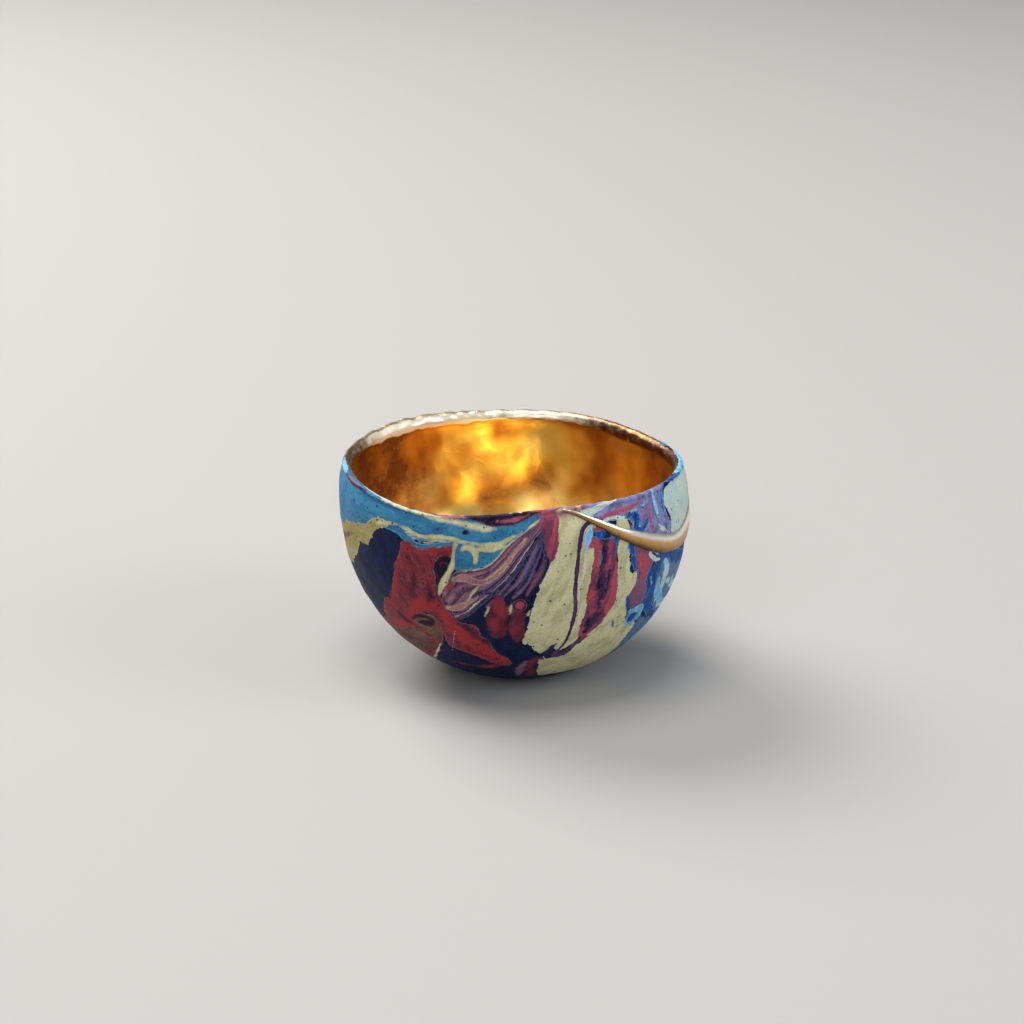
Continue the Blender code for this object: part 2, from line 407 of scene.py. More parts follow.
addCoat("umberGround", "umber", "clay", "salmon", 0.8, 1.0, flow=(-50, 28), areas=[
    [(-104, 31), (-90, 29.5), (-80, 29.8), (-70, 32.5), (-62, 35), (-55, 36), (-48, 36.6), (-42, 38.5),
     (-38, 41), (-33, 42.4), (-28.5, 41.6), (-27.2, 38.6), (-27.6, 36.8), (-31, 33.2), (-35, 30.3),
     (-40, 27.3), (-45, 25), (-55, 21.5), (-65, 19.5), (-80, 18), (-104, 18)],
])
addCoat("lowBrick", "wine", "brick", "wine", 0.8, 1.6, softness=0.45, flow=(-50, 20), threads=[
    [(-104, 27, 1.2), (-96, 26.5, 2.5), (-88, 26, 2.6), (-80, 27.3, 1.6), (-72, 28.8, 0.7), (-65, 29.7, 0.2)],
    [(-58, 33.6, 0.2), (-51, 33.4, 0.5), (-46, 32, 0.4)],
    [(-56, 24.5, 0.4), (-50, 25.6, 0.9), (-44, 27.4, 0.8), (-39.5, 29.6, 0.4)],
    [(-39, 37.4, 0.25), (-35, 36.4, 0.45), (-32.5, 34.6, 0.35), (-36, 32.4, 0.3), (-38, 30, 0.2)],
    [(-31, 26.2, 0.2), (-22.2, 26.2, 0.45), (-14.8, 26.2, 0.55), (-9, 27.4, 0.5), (-2.5, 29, 0.3)],
])
addCoat("topBlue", "blue", "deepBlue", "sky", 0.6, 0.7, flow=(-45, -7), areas=[
    [(-130, 50), (-110, 50.5), (-90, 51.8), (-80, 53.3), (-70, 55), (-60, 56.6), (-53, 57.6), (-47, 58.8),
     (-43, 59.2), (-37, 59), (-30, 58), (-25, 58.6), (-15, 58.3), (-8, 58.1), (-3, 59), (2, 60.5),
     (6, 61.9), (9, 63.2), (10, 64.4), (4, 67), (-20, 68), (-60, 68), (-130, 68)],
    [(-45, 58.9), (-41, 59.9), (-37, 59.6), (-33, 57.9), (-28, 57.5), (-23, 58.3), (-18, 58.8),
     (-12, 58.2), (-6, 57.9), (-2, 59.3), (0, 60), (-4, 57), (-7, 55), (-12, 53.8), (-18, 53.2),
     (-19.5, 55), (-18.5, 57.6), (-24, 57.2), (-30, 56.3), (-36, 57.4), (-40, 58.5)],
])
addCoat("ochreBand", "ochre", "khaki", "cream", 0.8, 1.5, flow=(-70, 22), areas=[
    [(-120, 42), (-100, 42.3), (-90, 43.1), (-80, 44.7), (-72, 46.6), (-65, 49), (-62, 51), (-60.3, 53.3),
     (-56, 53.8), (-53, 54.3), (-51.3, 56.5), (-49, 57.8), (-46, 58.6), (-43, 60), (-47, 60.4),
     (-53, 58.2), (-60, 56.9), (-70, 55.1), (-80, 53.4), (-90, 51.9), (-110, 50.6), (-125, 48)],
])
addCoat("bandShadow", "umber", "clay", "clay", 0.9, 1.0, softness=0.5, threads=[
    [(-112, 46.3, 0.5), (-100, 47.2, 1.2), (-90, 48.7, 1.1), (-80, 50.4, 0.9), (-74, 51.8, 0.6),
     (-66, 53.8, 0.3)],
])
addCoat("redField", "red", "wine", "salmon", 0.85, 1.25, flow=(-30, -65), areas=[
    [(-37, 57), (-33, 56.8), (-30, 56.2), (-25, 57), (-21, 57.8), (-18.4, 57.6), (-19, 56.4),
     (-20.3, 55.4), (-23, 55.4), (-25.2, 54.4), (-25.7, 52.8), (-25.2, 51.5), (-25.4, 49.5), (-25, 47.5),
     (-24.3, 45.8), (-23.5, 44.5), (-21.5, 43), (-19.5, 41.3), (-16.5, 41), (-13.5, 40.3), (-12, 38.3),
     (-10.5, 36), (-9, 33.6), (-7, 31.8), (-4, 30.8), (-2.3, 29.6), (-3, 28), (-7, 27.9), (-11, 29),
     (-16, 31), (-21, 32.2), (-25.5, 33.5), (-27, 36), (-27.6, 38.6), (-28.3, 41), (-30, 42.2),
     (-33.5, 42), (-36.5, 40.3), (-40, 38.6), (-44, 36.2), (-50, 34.8), (-58, 33.4), (-66, 32),
     (-60, 35.2), (-57, 37.3), (-53.5, 40.3), (-51, 42.2), (-47.5, 43.4), (-45, 44.2), (-43.6, 47),
     (-42, 50), (-40.2, 52.5), (-38.3, 55)],
])
addCoat("brightRed", "brick", "red", "brick", 0.6, 1.4, softness=0.7, threads=[
    [(-54, 36, 0.5), (-46, 37, 1.0), (-41, 38.8, 1.0), (-38, 41.5, 1.1), (-34, 43.6, 1.4), (-30, 44.6, 1.3),
     (-26, 44.2, 1.3), (-23.5, 42.5, 1.2), (-22, 39.5, 1.5), (-19, 36, 2.2), (-15, 33.6, 2.2), (-10, 31, 1.3),
     (-6, 29.8, 0.8)],
    [(-36, 56.2, 0.3), (-31, 55.7, 0.5), (-25, 56.5, 0.4), (-20, 57.2, 0.3)],
    [(-37.6, 55, 0.2), (-40.5, 50, 0.5), (-43, 46, 0.5), (-47, 43, 0.5), (-52, 40, 0.5), (-57, 36.5, 0.4)],
])
addCoat("wineShades", "wine", "ink", "wine", 0.8, 2.0, softness=0.7, flow=(-30, -50), threads=[
    [(-21, 41.2, 0.1), (-17, 40.2, 0.5), (-14.5, 38.6, 0.7), (-11.5, 36.6, 0.4)],
    [(-25.5, 37.6, 0.3), (-22, 35, 0.5), (-16, 32.6, 0.4), (-9, 30.2, 0.2)],
    [(-35, 54, 0.2), (-33.5, 51, 0.6), (-34.5, 48, 0.5), (-37.5, 45.4, 0.3)],
    [(-28.6, 48.6, 0.3), (-28.2, 46.6, 0.7), (-30, 45, 0.3)],
    [(-48, 41, 0.2), (-45, 39.6, 0.6), (-41, 38.4, 0.3)],
])
addCoat("darkEyes", "ink", "navy", "wine", 0.6, 0.7, areas=[
    [(-25.7, 52.7), (-24.8, 54.3), (-22.8, 55.5), (-20.3, 55.7), (-19.9, 54), (-20.3, 52.2), (-21.5, 51.3),
     (-23.5, 50.9), (-25, 51.6)],
    circle(-15, 61.1, 0.42),
], threads=[
    [(-39.5, 39.2, 0.15), (-37, 40.6, 0.4), (-34, 41.1, 0.5), (-31, 41.2, 0.5), (-29, 40.3, 0.3)],
    [(-30, 40.4, 0.5), (-31.8, 39.6, 0.75), (-34.4, 39.4, 0.6), (-36.6, 39, 0.2)],
    [(-24.6, 51, 0.5), (-25, 49.6, 0.35), (-24.6, 48.6, 0.12)],
])
addCoat("eyeRing", "wine", "red", "wine", 0.5, 0.5, threads=[
    [(-24, 52.9, 0.08), (-23.4, 54, 0.14), (-22, 54.5, 0.14), (-20.8, 54, 0.12), (-20.9, 52.8, 0.1)],
])
addCoat("mauveBundle", "mauve", "plum", "salmon", 0.75, 0.5, flow=(-8, 50), areas=[
    [(9.3, 63), (6, 62.2), (2, 60.4), (-2, 58.4), (-5, 56.2), (-9, 54.2), (-13, 53.5), (-17.5, 52.9),
     (-19.8, 51.7), (-22, 49.5), (-23.8, 47.3), (-24, 45.5), (-23, 43.8), (-20.5, 42.3), (-18.5, 42.6),
     (-15.5, 44), (-12, 46.2), (-9, 48), (-5, 50), (-1, 52.6), (3, 56.3), (6.5, 59.7), (9.5, 61.6)],
])
addCoat("bundleGrey", "mauve", "slate", "salmon", 1.0, 0.8, softness=0.3, flow=(2, 52), threads=[
    [(8.2, 59.8, 0.2), (4.4, 55.3, 0.6), (1.2, 52.2, 0.8), (-2, 49.8, 0.8), (-6, 47.4, 0.5), (-9, 45.6, 0.2)],
    [(9.2, 60, 0.3), (7.4, 56.4, 0.5), (5, 53, 0.5), (2, 49.6, 0.5), (-1, 47.6, 0.25)],
    [(3.6, 29.4, 0.4), (2, 26.5, 0.9), (0.6, 24, 0.9), (0.4, 21.5, 0.4)],
])
addCoat("fanStreaks", "navy", "plum", "slate", 0.9, 0.5, softness=0.15, flow=(2, 54), threads=[
    [(9.3, 61.4, 0.15), (6.2, 58.2, 0.3), (2.8, 54.4, 0.36), (-0.6, 51, 0.4), (-4.6, 48, 0.35),
     (-9, 45.2, 0.2)],
    [(9.6, 60.4, 0.15), (8, 57.4, 0.3), (5.6, 54, 0.35), (2.6, 50.7, 0.4), (-0.6, 48.4, 0.3)],
])
addCoat("fanReds", "wine", "mauve", "red", 0.9, 0.7, softness=0.3, flow=(4, 60), threads=[
    [(10.2, 57.6, 0.15), (9.2, 54.8, 0.4), (7, 51.8, 0.45), (4.8, 49.4, 0.35), (3.6, 47.6, 0.15)],
    [(-1, 47.4, 0.2), (-0.6, 44.6, 0.35), (-1.4, 42, 0.3), (-1.6, 39.6, 0.2)],
])
addCoat("creamVeins", "cream", "khaki", "khaki", 0.6, 0.55, softness=0.14, threads=[
    [(-48, 59.2, 0.5), (-44, 60, 0.4), (-40, 60.4, 0.25), (-36, 60, 0.3), (-32, 59.3, 0.42),
     (-28, 59, 0.45), (-24, 59.5, 0.4), (-20, 59.6, 0.32), (-15, 59.1, 0.3), (-10, 58.8, 0.38),
     (-5, 58.9, 0.4), (-1, 60, 0.3), (3, 61.2, 0.2)],
    [(-36, 59.3, 0.12), (-32, 58.1, 0.2), (-28, 57.9, 0.22), (-24, 58.6, 0.2), (-20, 58.9, 0.12)],
    [(-18.6, 44.6, 0.1), (-16, 46.4, 0.18), (-14, 47.9, 0.2), (-11.2, 50.4, 0.22), (-7.8, 52.1, 0.2),
     (-2.8, 54.9, 0.12)],
    [(-25, 47.2, 0.2), (-24.2, 48.7, 0.55), (-22.7, 50.4, 0.72), (-21.2, 52, 0.55), (-19.8, 53.6, 0.45),
     (-19.2, 55.3, 0.35), (-18.8, 57, 0.3), (-18.2, 58.4, 0.3)],
    [(-16.2, 57.3, 0.2), (-14.5, 58, 0.5), (-12.5, 57.6, 0.75), (-11.8, 56.3, 0.6), (-12, 55, 0.4)],
    [(-11, 57.7, 0.5), (-7, 58, 0.6), (-3.5, 58.6, 0.5)],
    [(-10.2, 43.4, 0.12), (-9.2, 44.6, 0.28), (-8.4, 45.7, 0.15)],
    [(-2, 44.3, 0.25), (-1.7, 45.3, 0.32), (-0.9, 46.3, 0.12)],
    [(4.2, 43.9, 0.28), (4.7, 44.8, 0.15)],
    [(92, 48.4, 0.1), (99, 47.4, 0.3), (107, 48.6, 0.4), (116, 52, 0.3), (124, 56, 0.15)],
    [(93, 42.4, 0.1), (100, 41.2, 0.25), (109, 41.8, 0.3), (118, 44.6, 0.15)],
])
addCoat("salmonThreads", "salmon", "mauve", "cream", 0.7, 0.6, softness=0.25, threads=[
    [(-19.4, 51, 0.4), (-16, 51.6, 0.9), (-12, 51, 0.8), (-8, 51.5, 0.5), (-4, 53.6, 0.45), (0, 56.8, 0.4),
     (4, 60, 0.3)],
    [(-23, 44.5, 0.4), (-20, 44.6, 0.7), (-16, 46, 0.6), (-12, 48, 0.35)],
    [(94, 50.2, 0.1), (101, 49.4, 0.4), (111, 51.8, 0.5), (119, 55.4, 0.25)],
    [(95, 45.2, 0.2), (103, 44.2, 0.7), (111, 45.6, 0.55), (118, 48, 0.2)],
])
addCoat("redDrop", "wine", "red", "wine", 0.9, 1.6, softness=0.45, areas=[
    [(-5.6, 48.1), (-4, 47.6), (-2.9, 46.3), (-2.7, 44.8), (-3.4, 43.2), (-3.9, 41), (-4.6, 39),
     (-6.2, 37.8), (-8.2, 38.2), (-9.6, 40.2), (-9.6, 42.5), (-8.6, 44.2), (-7.6, 46), (-7, 47.6)],
], threads=[
    [(1.4, 45, 0.5), (1.3, 43, 0.8), (0.9, 41, 1.2), (0.6, 39, 1.3), (0.6, 37.2, 0.5)],
    [(9, 30.5, 0.4), (7, 29.6, 0.8), (5.6, 27, 0.8), (6, 24, 0.7), (7.6, 21, 0.6)],
])
addCoat("dropHead", "red", "brick", "red", 0.6, 1.4, softness=0.55, threads=[
    [(-5.4, 47.4, 0.5), (-5.2, 46, 1.3), (-4.2, 44.6, 0.8), (-3.8, 43.2, 0.3)],
    [(-7.4, 42.6, 0.3), (-7, 40.6, 0.6)],
    [(-22, 48.6, 0.2), (-20.4, 49.6, 0.4), (-19, 49.8, 0.2)],
])
addCoat("creamField", "cream", "khaki", "mint", 0.7, 1.0, flow=(20, 72), areas=[
    [(14.3, 64.6), (14.2, 61), (13.6, 57.5), (12.3, 55.4), (10.6, 54.2), (9.2, 51.5), (7.7, 49.2),
     (6.4, 46.6), (5.3, 44.3), (4.2, 42), (3.5, 39.8), (3, 38), (2.5, 36.7), (3.3, 36), (4.3, 37.2),
     (4.9, 35.7), (6.2, 35.4), (7, 34.2), (8.2, 34), (9.2, 33.1), (10.5, 33.1), (11.8, 33.4), (13, 34.6),
     (14.2, 35.9), (14.9, 34.9), (15.2, 33.4), (17.5, 33), (20.5, 34.4), (23.5, 36.4), (24, 42), (25, 50),
     (27, 56), (26.5, 61.8), (24, 64.8)],
    [(10.3, 31.2), (12.5, 30), (15, 30.2), (18, 30.4), (21, 31.6), (23.2, 34), (24.6, 35.2), (27, 37),
     (29.5, 38.4), (31.5, 40), (33.3, 42), (34.8, 44), (35.3, 47), (35, 50), (34.7, 53), (34.6, 57),
     (34.5, 60.5), (36, 61.7), (38.5, 61.2), (39.4, 60), (39.4, 57), (39.4, 54), (39.9, 51), (41, 49.7),
     (42.6, 49.8), (43.1, 48.3), (42.5, 46.8), (41, 45.7), (40.4, 44), (40.5, 42.3), (41.7, 41),
     (42.4, 39), (43.2, 37.2), (45, 36.3), (47.5, 37), (49.7, 36), (49.9, 33), (50.3, 30), (51.5, 27),
     (53, 24), (52, 21), (45, 20), (35, 20), (25, 20.5), (17, 20), (12.5, 20.5), (11, 23), (10, 26),
     (9.3, 28.8)],
])
addCoat("crimson", "rose", "plum", "mauve", 0.75, 1.0, flow=(28, 76), areas=[
    [(9.3, 63.2), (9, 61.5), (9.2, 59.5), (9.8, 57.6), (10.6, 56), (11.6, 55.3), (12.6, 55.8), (13.5, 57.2),
     (14.1, 59), (14.2, 61), (14.6, 63), (12, 64)],
    [(24.2, 60.3), (23.3, 58.6), (22.9, 57), (24, 57.4), (25.6, 57.4), (26.4, 55.6), (25.8, 53), (24.8, 50),
     (24.4, 47), (24.3, 44.5), (23.5, 42), (23.1, 39.5), (23.6, 37.3), (23.4, 35.5), (24.7, 35.1),
     (26.6, 37), (29, 38.4), (31, 40), (33, 42), (34.5, 44), (35, 46.5), (34.9, 49), (34.6, 52), (34.2, 55),
     (34.6, 58), (34.2, 60.2), (32, 60.7), (28, 60.6)],
])
addCoat("streakInk", "navy", "plum", "mauve", 1.0, 1.8, softness=0.5, flow=(29, 78), threads=[
    [(29.6, 58.4, 1.0), (30, 56, 0.8), (29.2, 53, 0.9), (28.6, 50, 0.85), (29.2, 46, 1.0), (28, 42.4, 0.9),
     (26.8, 40, 0.7), (25.4, 38, 0.2)],
    [(32.2, 56, 0.1), (32, 53, 0.25), (31.4, 50, 0.3), (31, 47, 0.15)],
])
addCoat("streakBlue", "royal", "navy", "sky", 0.9, 1.2, softness=0.25, flow=(30, 70), threads=[
    [(25.6, 59.8, 0.35), (28, 59.3, 0.85), (31, 59.1, 0.9), (33.3, 59, 0.5), (34, 56.6, 0.28),
     (33.9, 53.8, 0.12)],
    [(27, 57.6, 0.2), (28.2, 55.6, 0.35), (28, 53.2, 0.15)],
])
addCoat("plumThreads", "plum", "mauve", "ink", 0.6, 0.35, threads=[
    [(28.5, 61.8, 0.2), (25, 61.6, 0.35), (22.8, 60.9, 0.42), (21.6, 59.5, 0.45), (20.9, 57, 0.45),
     (20.3, 54, 0.42), (19.8, 50.5, 0.42), (19.8, 47, 0.45), (20.2, 44.5, 0.42), (20, 42, 0.4),
     (19.5, 39.5, 0.4), (18.9, 37, 0.35), (18, 35, 0.3), (16.6, 33.4, 0.35), (15.1, 32.2, 0.55),
     (14.8, 31.3, 0.45), (16.2, 31.1, 0.5), (18.5, 31.9, 0.65), (20.8, 33, 0.6), (22.6, 34.5, 0.5),
     (24.2, 36.4, 0.3)],
    [(28, 36.9, 0.1), (26, 36, 0.2), (24.2, 34.6, 0.3)],
])
addCoat("paleThreads", "salmon", "white", "white", 0.6, 0.3, threads=[
    [(25, 60.7, 0.2), (23.4, 59.7, 0.3), (22.5, 57, 0.3), (21.8, 54, 0.25), (21.2, 50, 0.2), (21.2, 47, 0.2),
     (21.4, 44, 0.15), (21, 40, 0.12)],
    [(-30.5, 33.8, 0.12), (-35, 30.5, 0.2), (-40, 27.5, 0.22), (-45, 25.2, 0.2), (-55, 21.8, 0.12)],
    [(-20.6, 40.4, 0.05), (-22.5, 37.6, 0.08), (-24.6, 34.6, 0.08), (-26.6, 32, 0.05)],
])
addCoat("navyThreads", "navy", "ink", "slate", 0.4, 0.4, threads=[
    [(degrees, along - 0.6, 0.27) for degrees, along in bundleLine],
    [(9.6, 61.4, 0.2), (9.4, 59.4, 0.3), (9.6, 57, 0.35), (10.6, 55, 0.5), (9.8, 53.4, 0.4), (8, 50.8, 0.2)],
    [(-14, 47.4, 0.08), (-12.5, 48.3, 0.3), (-10.2, 49, 0.42), (-8, 48.6, 0.3), (-6, 49.4, 0.1)],
    [(10, 30.8, 0.5), (10.8, 30.2, 0.25), (11.6, 29.8, 0.1)],
    [(14.9, 35.2, 0.1), (13.8, 34.9, 0.35), (12.4, 33.4, 0.4), (10.6, 32.6, 0.35)],
])
addCoat("rightMauve", "mauve", "plum", "lavender", 0.8, 1.2, softness=0.2, flow=(45, 82), areas=[
    [(39.9, 60), (40, 57), (40.2, 54.5), (40.9, 52), (41.8, 50.7), (43, 50.3), (43.7, 48.6), (43.2, 46.8),
     (41.6, 45.4), (41, 43.6), (41.8, 42), (43.5, 41.3), (46, 41.4), (49, 41.5), (50.3, 42.6), (49.4, 45),
     (48.2, 47.3), (49.2, 48.8), (50.4, 50.2), (50.2, 51.6), (48.8, 53.2), (46.5, 54.6), (44, 56.5),
     (42, 58.5)],
])
addCoat("lowBlue", "blue", "slate", "sky", 1.0, 1.2, softness=0.3, flow=(62, 42), areas=[
    [(51, 37.5), (50, 33), (50.5, 30), (52, 27.5), (56, 25.5), (64, 24), (75, 23.5), (90, 24), (100, 26),
     (90, 28.5), (80, 30), (70, 31.8), (63, 33.5), (58, 35.2), (54, 37.3)],
    [(60, 34.6), (66, 33), (75, 31.6), (88, 30.6), (104, 31), (112, 36), (104, 42), (92, 45), (80, 46.6),
     (70, 48.5), (62, 50.6), (57, 50.4), (55, 47), (55, 43), (57, 40)],
])
addCoat("paleRight", "mint", "sky", "white", 0.9, 1.5, softness=0.3, flow=(64, 50), threads=[
    [(58, 50, 0.4), (59.2, 48, 1.0), (59.8, 45.8, 1.15), (59.2, 43.4, 0.9), (58, 41.2, 0.5),
     (57.2, 39.4, 0.2)],
    [(61.5, 44.6, 0.3), (66, 43.4, 1.0), (73, 41.4, 0.8), (84, 39.8, 0.4)],
    [(62, 38.4, 0.2), (70, 37.2, 0.9), (80, 36.2, 1.2), (92, 36, 0.9), (102, 37, 0.3)],
    [(66, 26.6, 0.2), (76, 25.6, 0.8), (90, 25.6, 1.0), (104, 27, 0.5)],
])
addCoat("royalBlue", "royal", "navy", "sky", 0.6, 1.3, softness=0.14, flow=(56, 72), areas=[
    [(60, 52.2), (55, 53), (52.5, 52.4), (52, 50.8), (50.6, 49.6), (48.4, 49), (47.6, 47.8), (48.6, 46),
     (49.3, 43.6), (49.5, 41.6), (50.4, 39.6), (53, 38.1), (56, 37), (58.5, 36), (62, 35), (66, 34.4),
     (63.5, 36), (60.3, 37.8), (57, 40), (55, 42.3), (54.3, 44.6), (54, 47), (54.8, 48.8), (56.5, 50),
     (59, 50.4), (62, 50.9)],
], threads=[
    [(59, 51.2, 0.7), (65, 49.2, 1.5), (72, 47.8, 1.6), (81, 46.4, 1.2), (92, 45, 0.7), (104, 44, 0.3)],
    [(40, 58.4, 0.3), (40.4, 55.8, 0.6), (41.2, 53.2, 0.5), (41.9, 50.6, 0.25)],
    [(70, 32.6, 0.3), (80, 31, 0.8), (92, 30.6, 0.8), (106, 32, 0.3)],
    [(-132, 41, 0.2), (-124, 39, 0.8), (-114, 37.4, 1.1), (-105, 37.6, 0.7), (-98, 38.8, 0.2)],
    [(-128, 35, 0.15), (-118, 34, 0.5), (-107, 34.4, 0.4), (-99, 35.4, 0.15)],
])
addCoat("pinkPatches", "rose", "mauve", "mauve", 0.7, 1.2, softness=0.4, threads=[
    [(44, 53.3, 0.8), (45.8, 51.3, 1.4), (46.5, 49.5, 1.0), (47.2, 46.6, 0.35), (47.6, 44, 0.25)],
    [(23, 57.1, 0.3), (25.5, 57.4, 0.45), (27.4, 57.2, 0.6), (27.4, 55, 0.5), (26.8, 52, 0.4)],
])
addCoat("skyPatches", "sky", "blue", "white", 0.6, 0.8, softness=0.2, areas=[
    [(43, 41.2), (46, 41.3), (49.5, 41.2), (51, 39.8), (50.5, 38), (49, 37.2), (47, 36.6), (44.8, 36.4),
     (43.3, 37.3), (42.5, 39.3), (42, 41)],
], threads=[
    [(25.2, 60.6, 0.3), (24.6, 59.8, 0.5), (24.2, 58.8, 0.5), (23.6, 57.9, 0.3), (23.2, 56, 0.1)],
    [(55.6, 46, 0.3), (56, 44, 0.8), (59, 41.5, 1.0), (63, 39.5, 0.8), (68, 38, 0.3)],
    [(50.5, 47.4, 0.08), (51.6, 45.6, 0.12)],
])
addCoat("rightSpots", "royal", "navy", "deepBlue", 0.5, 1.0, softness=0.25, areas=[
    circle(45.4, 38.8, 1.1),
    circle(66, 43.2, 0.55),
], threads=[
    [(36.2, 39.6, 0.1), (36.6, 38.6, 0.35), (37.4, 37.6, 0.25)],
    [(40.4, 44.6, 0.15), (41.2, 43.2, 0.45), (42, 41.6, 0.3), (42.6, 39.6, 0.25)],
])
addCoat("aboveSeam", "lavender", "slate", "sky", 1.0, 0.9, flow=(50, 72), areas=[
    [(22.5, 65.2), (26, 63), (29.5, 62), (33, 61.3), (36, 61.2), (38.4, 61.2), (40.4, 60), (42, 57), (50, 55),
     (60, 53), (61, 56.5), (60, 58), (58, 59.5), (57, 61.2), (58, 63.4), (57, 66), (40, 67), (30, 67)],
])
addCoat("mintPatch", "mint", "sky", "white", 0.3, 0.7, areas=[
    [(58.3, 63.4), (57.2, 61.2), (58.3, 59.9), (60.3, 58.3), (61.2, 56.9), (60.8, 55.8), (62.5, 54),
     (70, 51.5), (85, 51.5), (100, 54), (110, 59), (102, 62.6), (88, 63.6), (76, 64), (64, 64.4)],
], threads=[
    [(48.5, 52.9, 0.25), (50.5, 51.6, 0.35), (52.3, 50.8, 0.3), (54.4, 50.6, 0.1)],
    [(50, 53.4, 0.15), (52, 52.5, 0.22), (53.7, 51.7, 0.12)],
    [(52.6, 58.2, 0.1), (54.6, 57, 0.22), (57, 56.2, 0.2), (59.4, 55.2, 0.1)],
    [(22.5, 63.1, 0.3), (25.5, 63.4, 0.6), (29, 64, 0.6), (33, 64.6, 0.4), (36, 65, 0.2)],
    [(29.8, 61.4, 0.12), (31.6, 61.8, 0.22), (34, 61.8, 0.26), (36.2, 61.4, 0.32), (38.2, 61.1, 0.3)],
])
addCoat("upperSwirls", "royal", "navy", "sky", 0.7, 0.8, flow=(44, 60), threads=[
    [(38.6, 61.2, 0.4), (40.6, 61.6, 0.7), (42.8, 60.8, 1.0), (42.6, 59.2, 1.0), (44.2, 58.3, 0.7),
     (46.8, 59.1, 0.4), (48.3, 60.8, 0.35), (48.2, 62.2, 0.2)],
    [(40.4, 58.6, 0.2), (41.6, 57.2, 0.4), (44, 56.4, 0.35), (47, 56.6, 0.15)],
    [(60, 65.2, 0.3), (57.2, 63.8, 0.5), (55.8, 61.4, 0.42), (56.6, 59.4, 0.36), (58.8, 57.8, 0.32),
     (60.6, 56, 0.22)],
    [(53.4, 61, 0.1), (54, 59.4, 0.22), (55.6, 58, 0.22), (58, 56.9, 0.12)],
    [(51.6, 64, 0.1), (51.6, 61.6, 0.14), (52, 59, 0.14), (53.6, 57.2, 0.1)],
    [(60, 65.6, 0.3), (64, 64.9, 0.6), (70, 64.6, 0.5), (76, 64.8, 0.2)],
])
addCoat("upperPinks", "rose", "mauve", "lavender", 0.6, 0.7, softness=0.2, threads=[
    [(27.6, 62.1, 0.25), (31, 62.3, 0.45), (35, 62.5, 0.6), (39, 62.6, 0.55), (43.5, 63.1, 0.45),
     (48.2, 63.8, 0.2)],
    [(45, 60.2, 0.2), (46, 61.2, 0.3), (46.2, 62.4, 0.15)],
    [(49.2, 62.8, 0.15), (48.4, 60.6, 0.3), (49.2, 58.6, 0.4), (51, 57, 0.2)],
    [(97, 65.2, 0.4), (101, 65, 0.4)],
])
addCoat("rimSky", "sky", "blue", "white", 0.6, 0.6, softness=0.15, threads=[
    [(71, 65.6, 0.3), (78, 65, 0.9), (87, 64.2, 1.3), (96, 64.2, 1.1), (103, 64.6, 0.5)],
    [(40.6, 62, 0.1), (43.4, 62.2, 0.24), (46.6, 62.6, 0.22), (49.4, 63.2, 0.1)],
    [(52.4, 65, 0.3), (52.2, 62.8, 0.5), (52.6, 60.4, 0.4), (53.8, 58.2, 0.2)],
    [(43.9, 60.2, 0.1), (43.4, 59.3, 0.2), (44.8, 58.9, 0.12)],
    [(-92, 65.6, 0.4), (-84, 65, 0.8), (-76, 64.6, 0.5)],
])
addCoat("pinkWash", "rose", "mauve", "rose", 0.7, 1.5, softness=0.8, flow=(15, 10), threads=[
    [(7, 64.4, 0.3), (9.5, 64, 0.7), (13, 63.8, 0.9), (17, 63.8, 0.8), (20.5, 64.1, 0.4), (24, 64.8, 0.2)],
])
addCoat("rimCream", "cream", "khaki", "white", 0.5, 0.9, softness=0.4, threads=[
    [(-47.5, 64.9, 0.15), (-40, 64.9, 0.4), (-33, 64.6, 0.5), (-26, 64.1, 0.55), (-19.5, 63.5, 0.6),
     (-13.2, 62.6, 0.6), (-9, 62, 0.45), (-5, 61.8, 0.15)],
])
addCoat("rimInk", "ink", "plum", "mauve", 0.8, 0.7, threads=[
    [(-30, 65.3, 0.15), (-24, 65.1, 0.4), (-18, 65, 0.6), (-14.5, 64.8, 0.8), (-10, 64.5, 1.15),
     (-6, 64.1, 1.6), (-1, 64.1, 1.65), (3, 64.3, 1.3), (7, 64.7, 0.8), (11, 65.2, 0.35)],
    [(-76, 64.9, 0.2), (-70, 64.1, 0.4), (-64, 64, 0.35), (-57, 64.6, 0.25)],
])
addCoat("rimRose", "rose", "lavender", "mauve", 0.7, 0.8, softness=0.2, threads=[
    [(-25, 64.9, 0.15), (-21.5, 64.7, 0.4), (-17.5, 64.5, 0.35), (-14, 64.3, 0.15)],
    [(-5, 63.3, 0.1), (-2, 63.3, 0.3), (1, 63.5, 0.35), (5, 64.1, 0.3)],
    [(4, 65, 0.2), (10, 64.9, 0.35), (17, 65, 0.3), (24, 65.3, 0.15)],
    [(-72, 64.4, 0.1), (-67, 64.4, 0.2), (-62, 64.6, 0.1)],
])
addCoat("ringDark", "ink", "navy", "salmon", 0.3, 0.25, areas=[circle(1.5, 46.1, 1.35)])
addCoat("ringCore", "rose", "red", "wine", 0.3, 0.3, areas=[circle(1.5, 46.1, 0.82)])
# Painted highlights: small white glints along the front lip
addCoat("specks", "white", "cream", "white", 0.2, 0.3, areas=[
    circle(-16.4, 65.3, 0.34), circle(-0.6, 65.3, 0.3), circle(2.6, 65.3, 0.36), circle(-40, 65.4, 0.2),
], threads=[
    [(-60, 65.5, 0.05), (-48, 65.3, 0.14), (-36, 65.4, 0.05)],
])

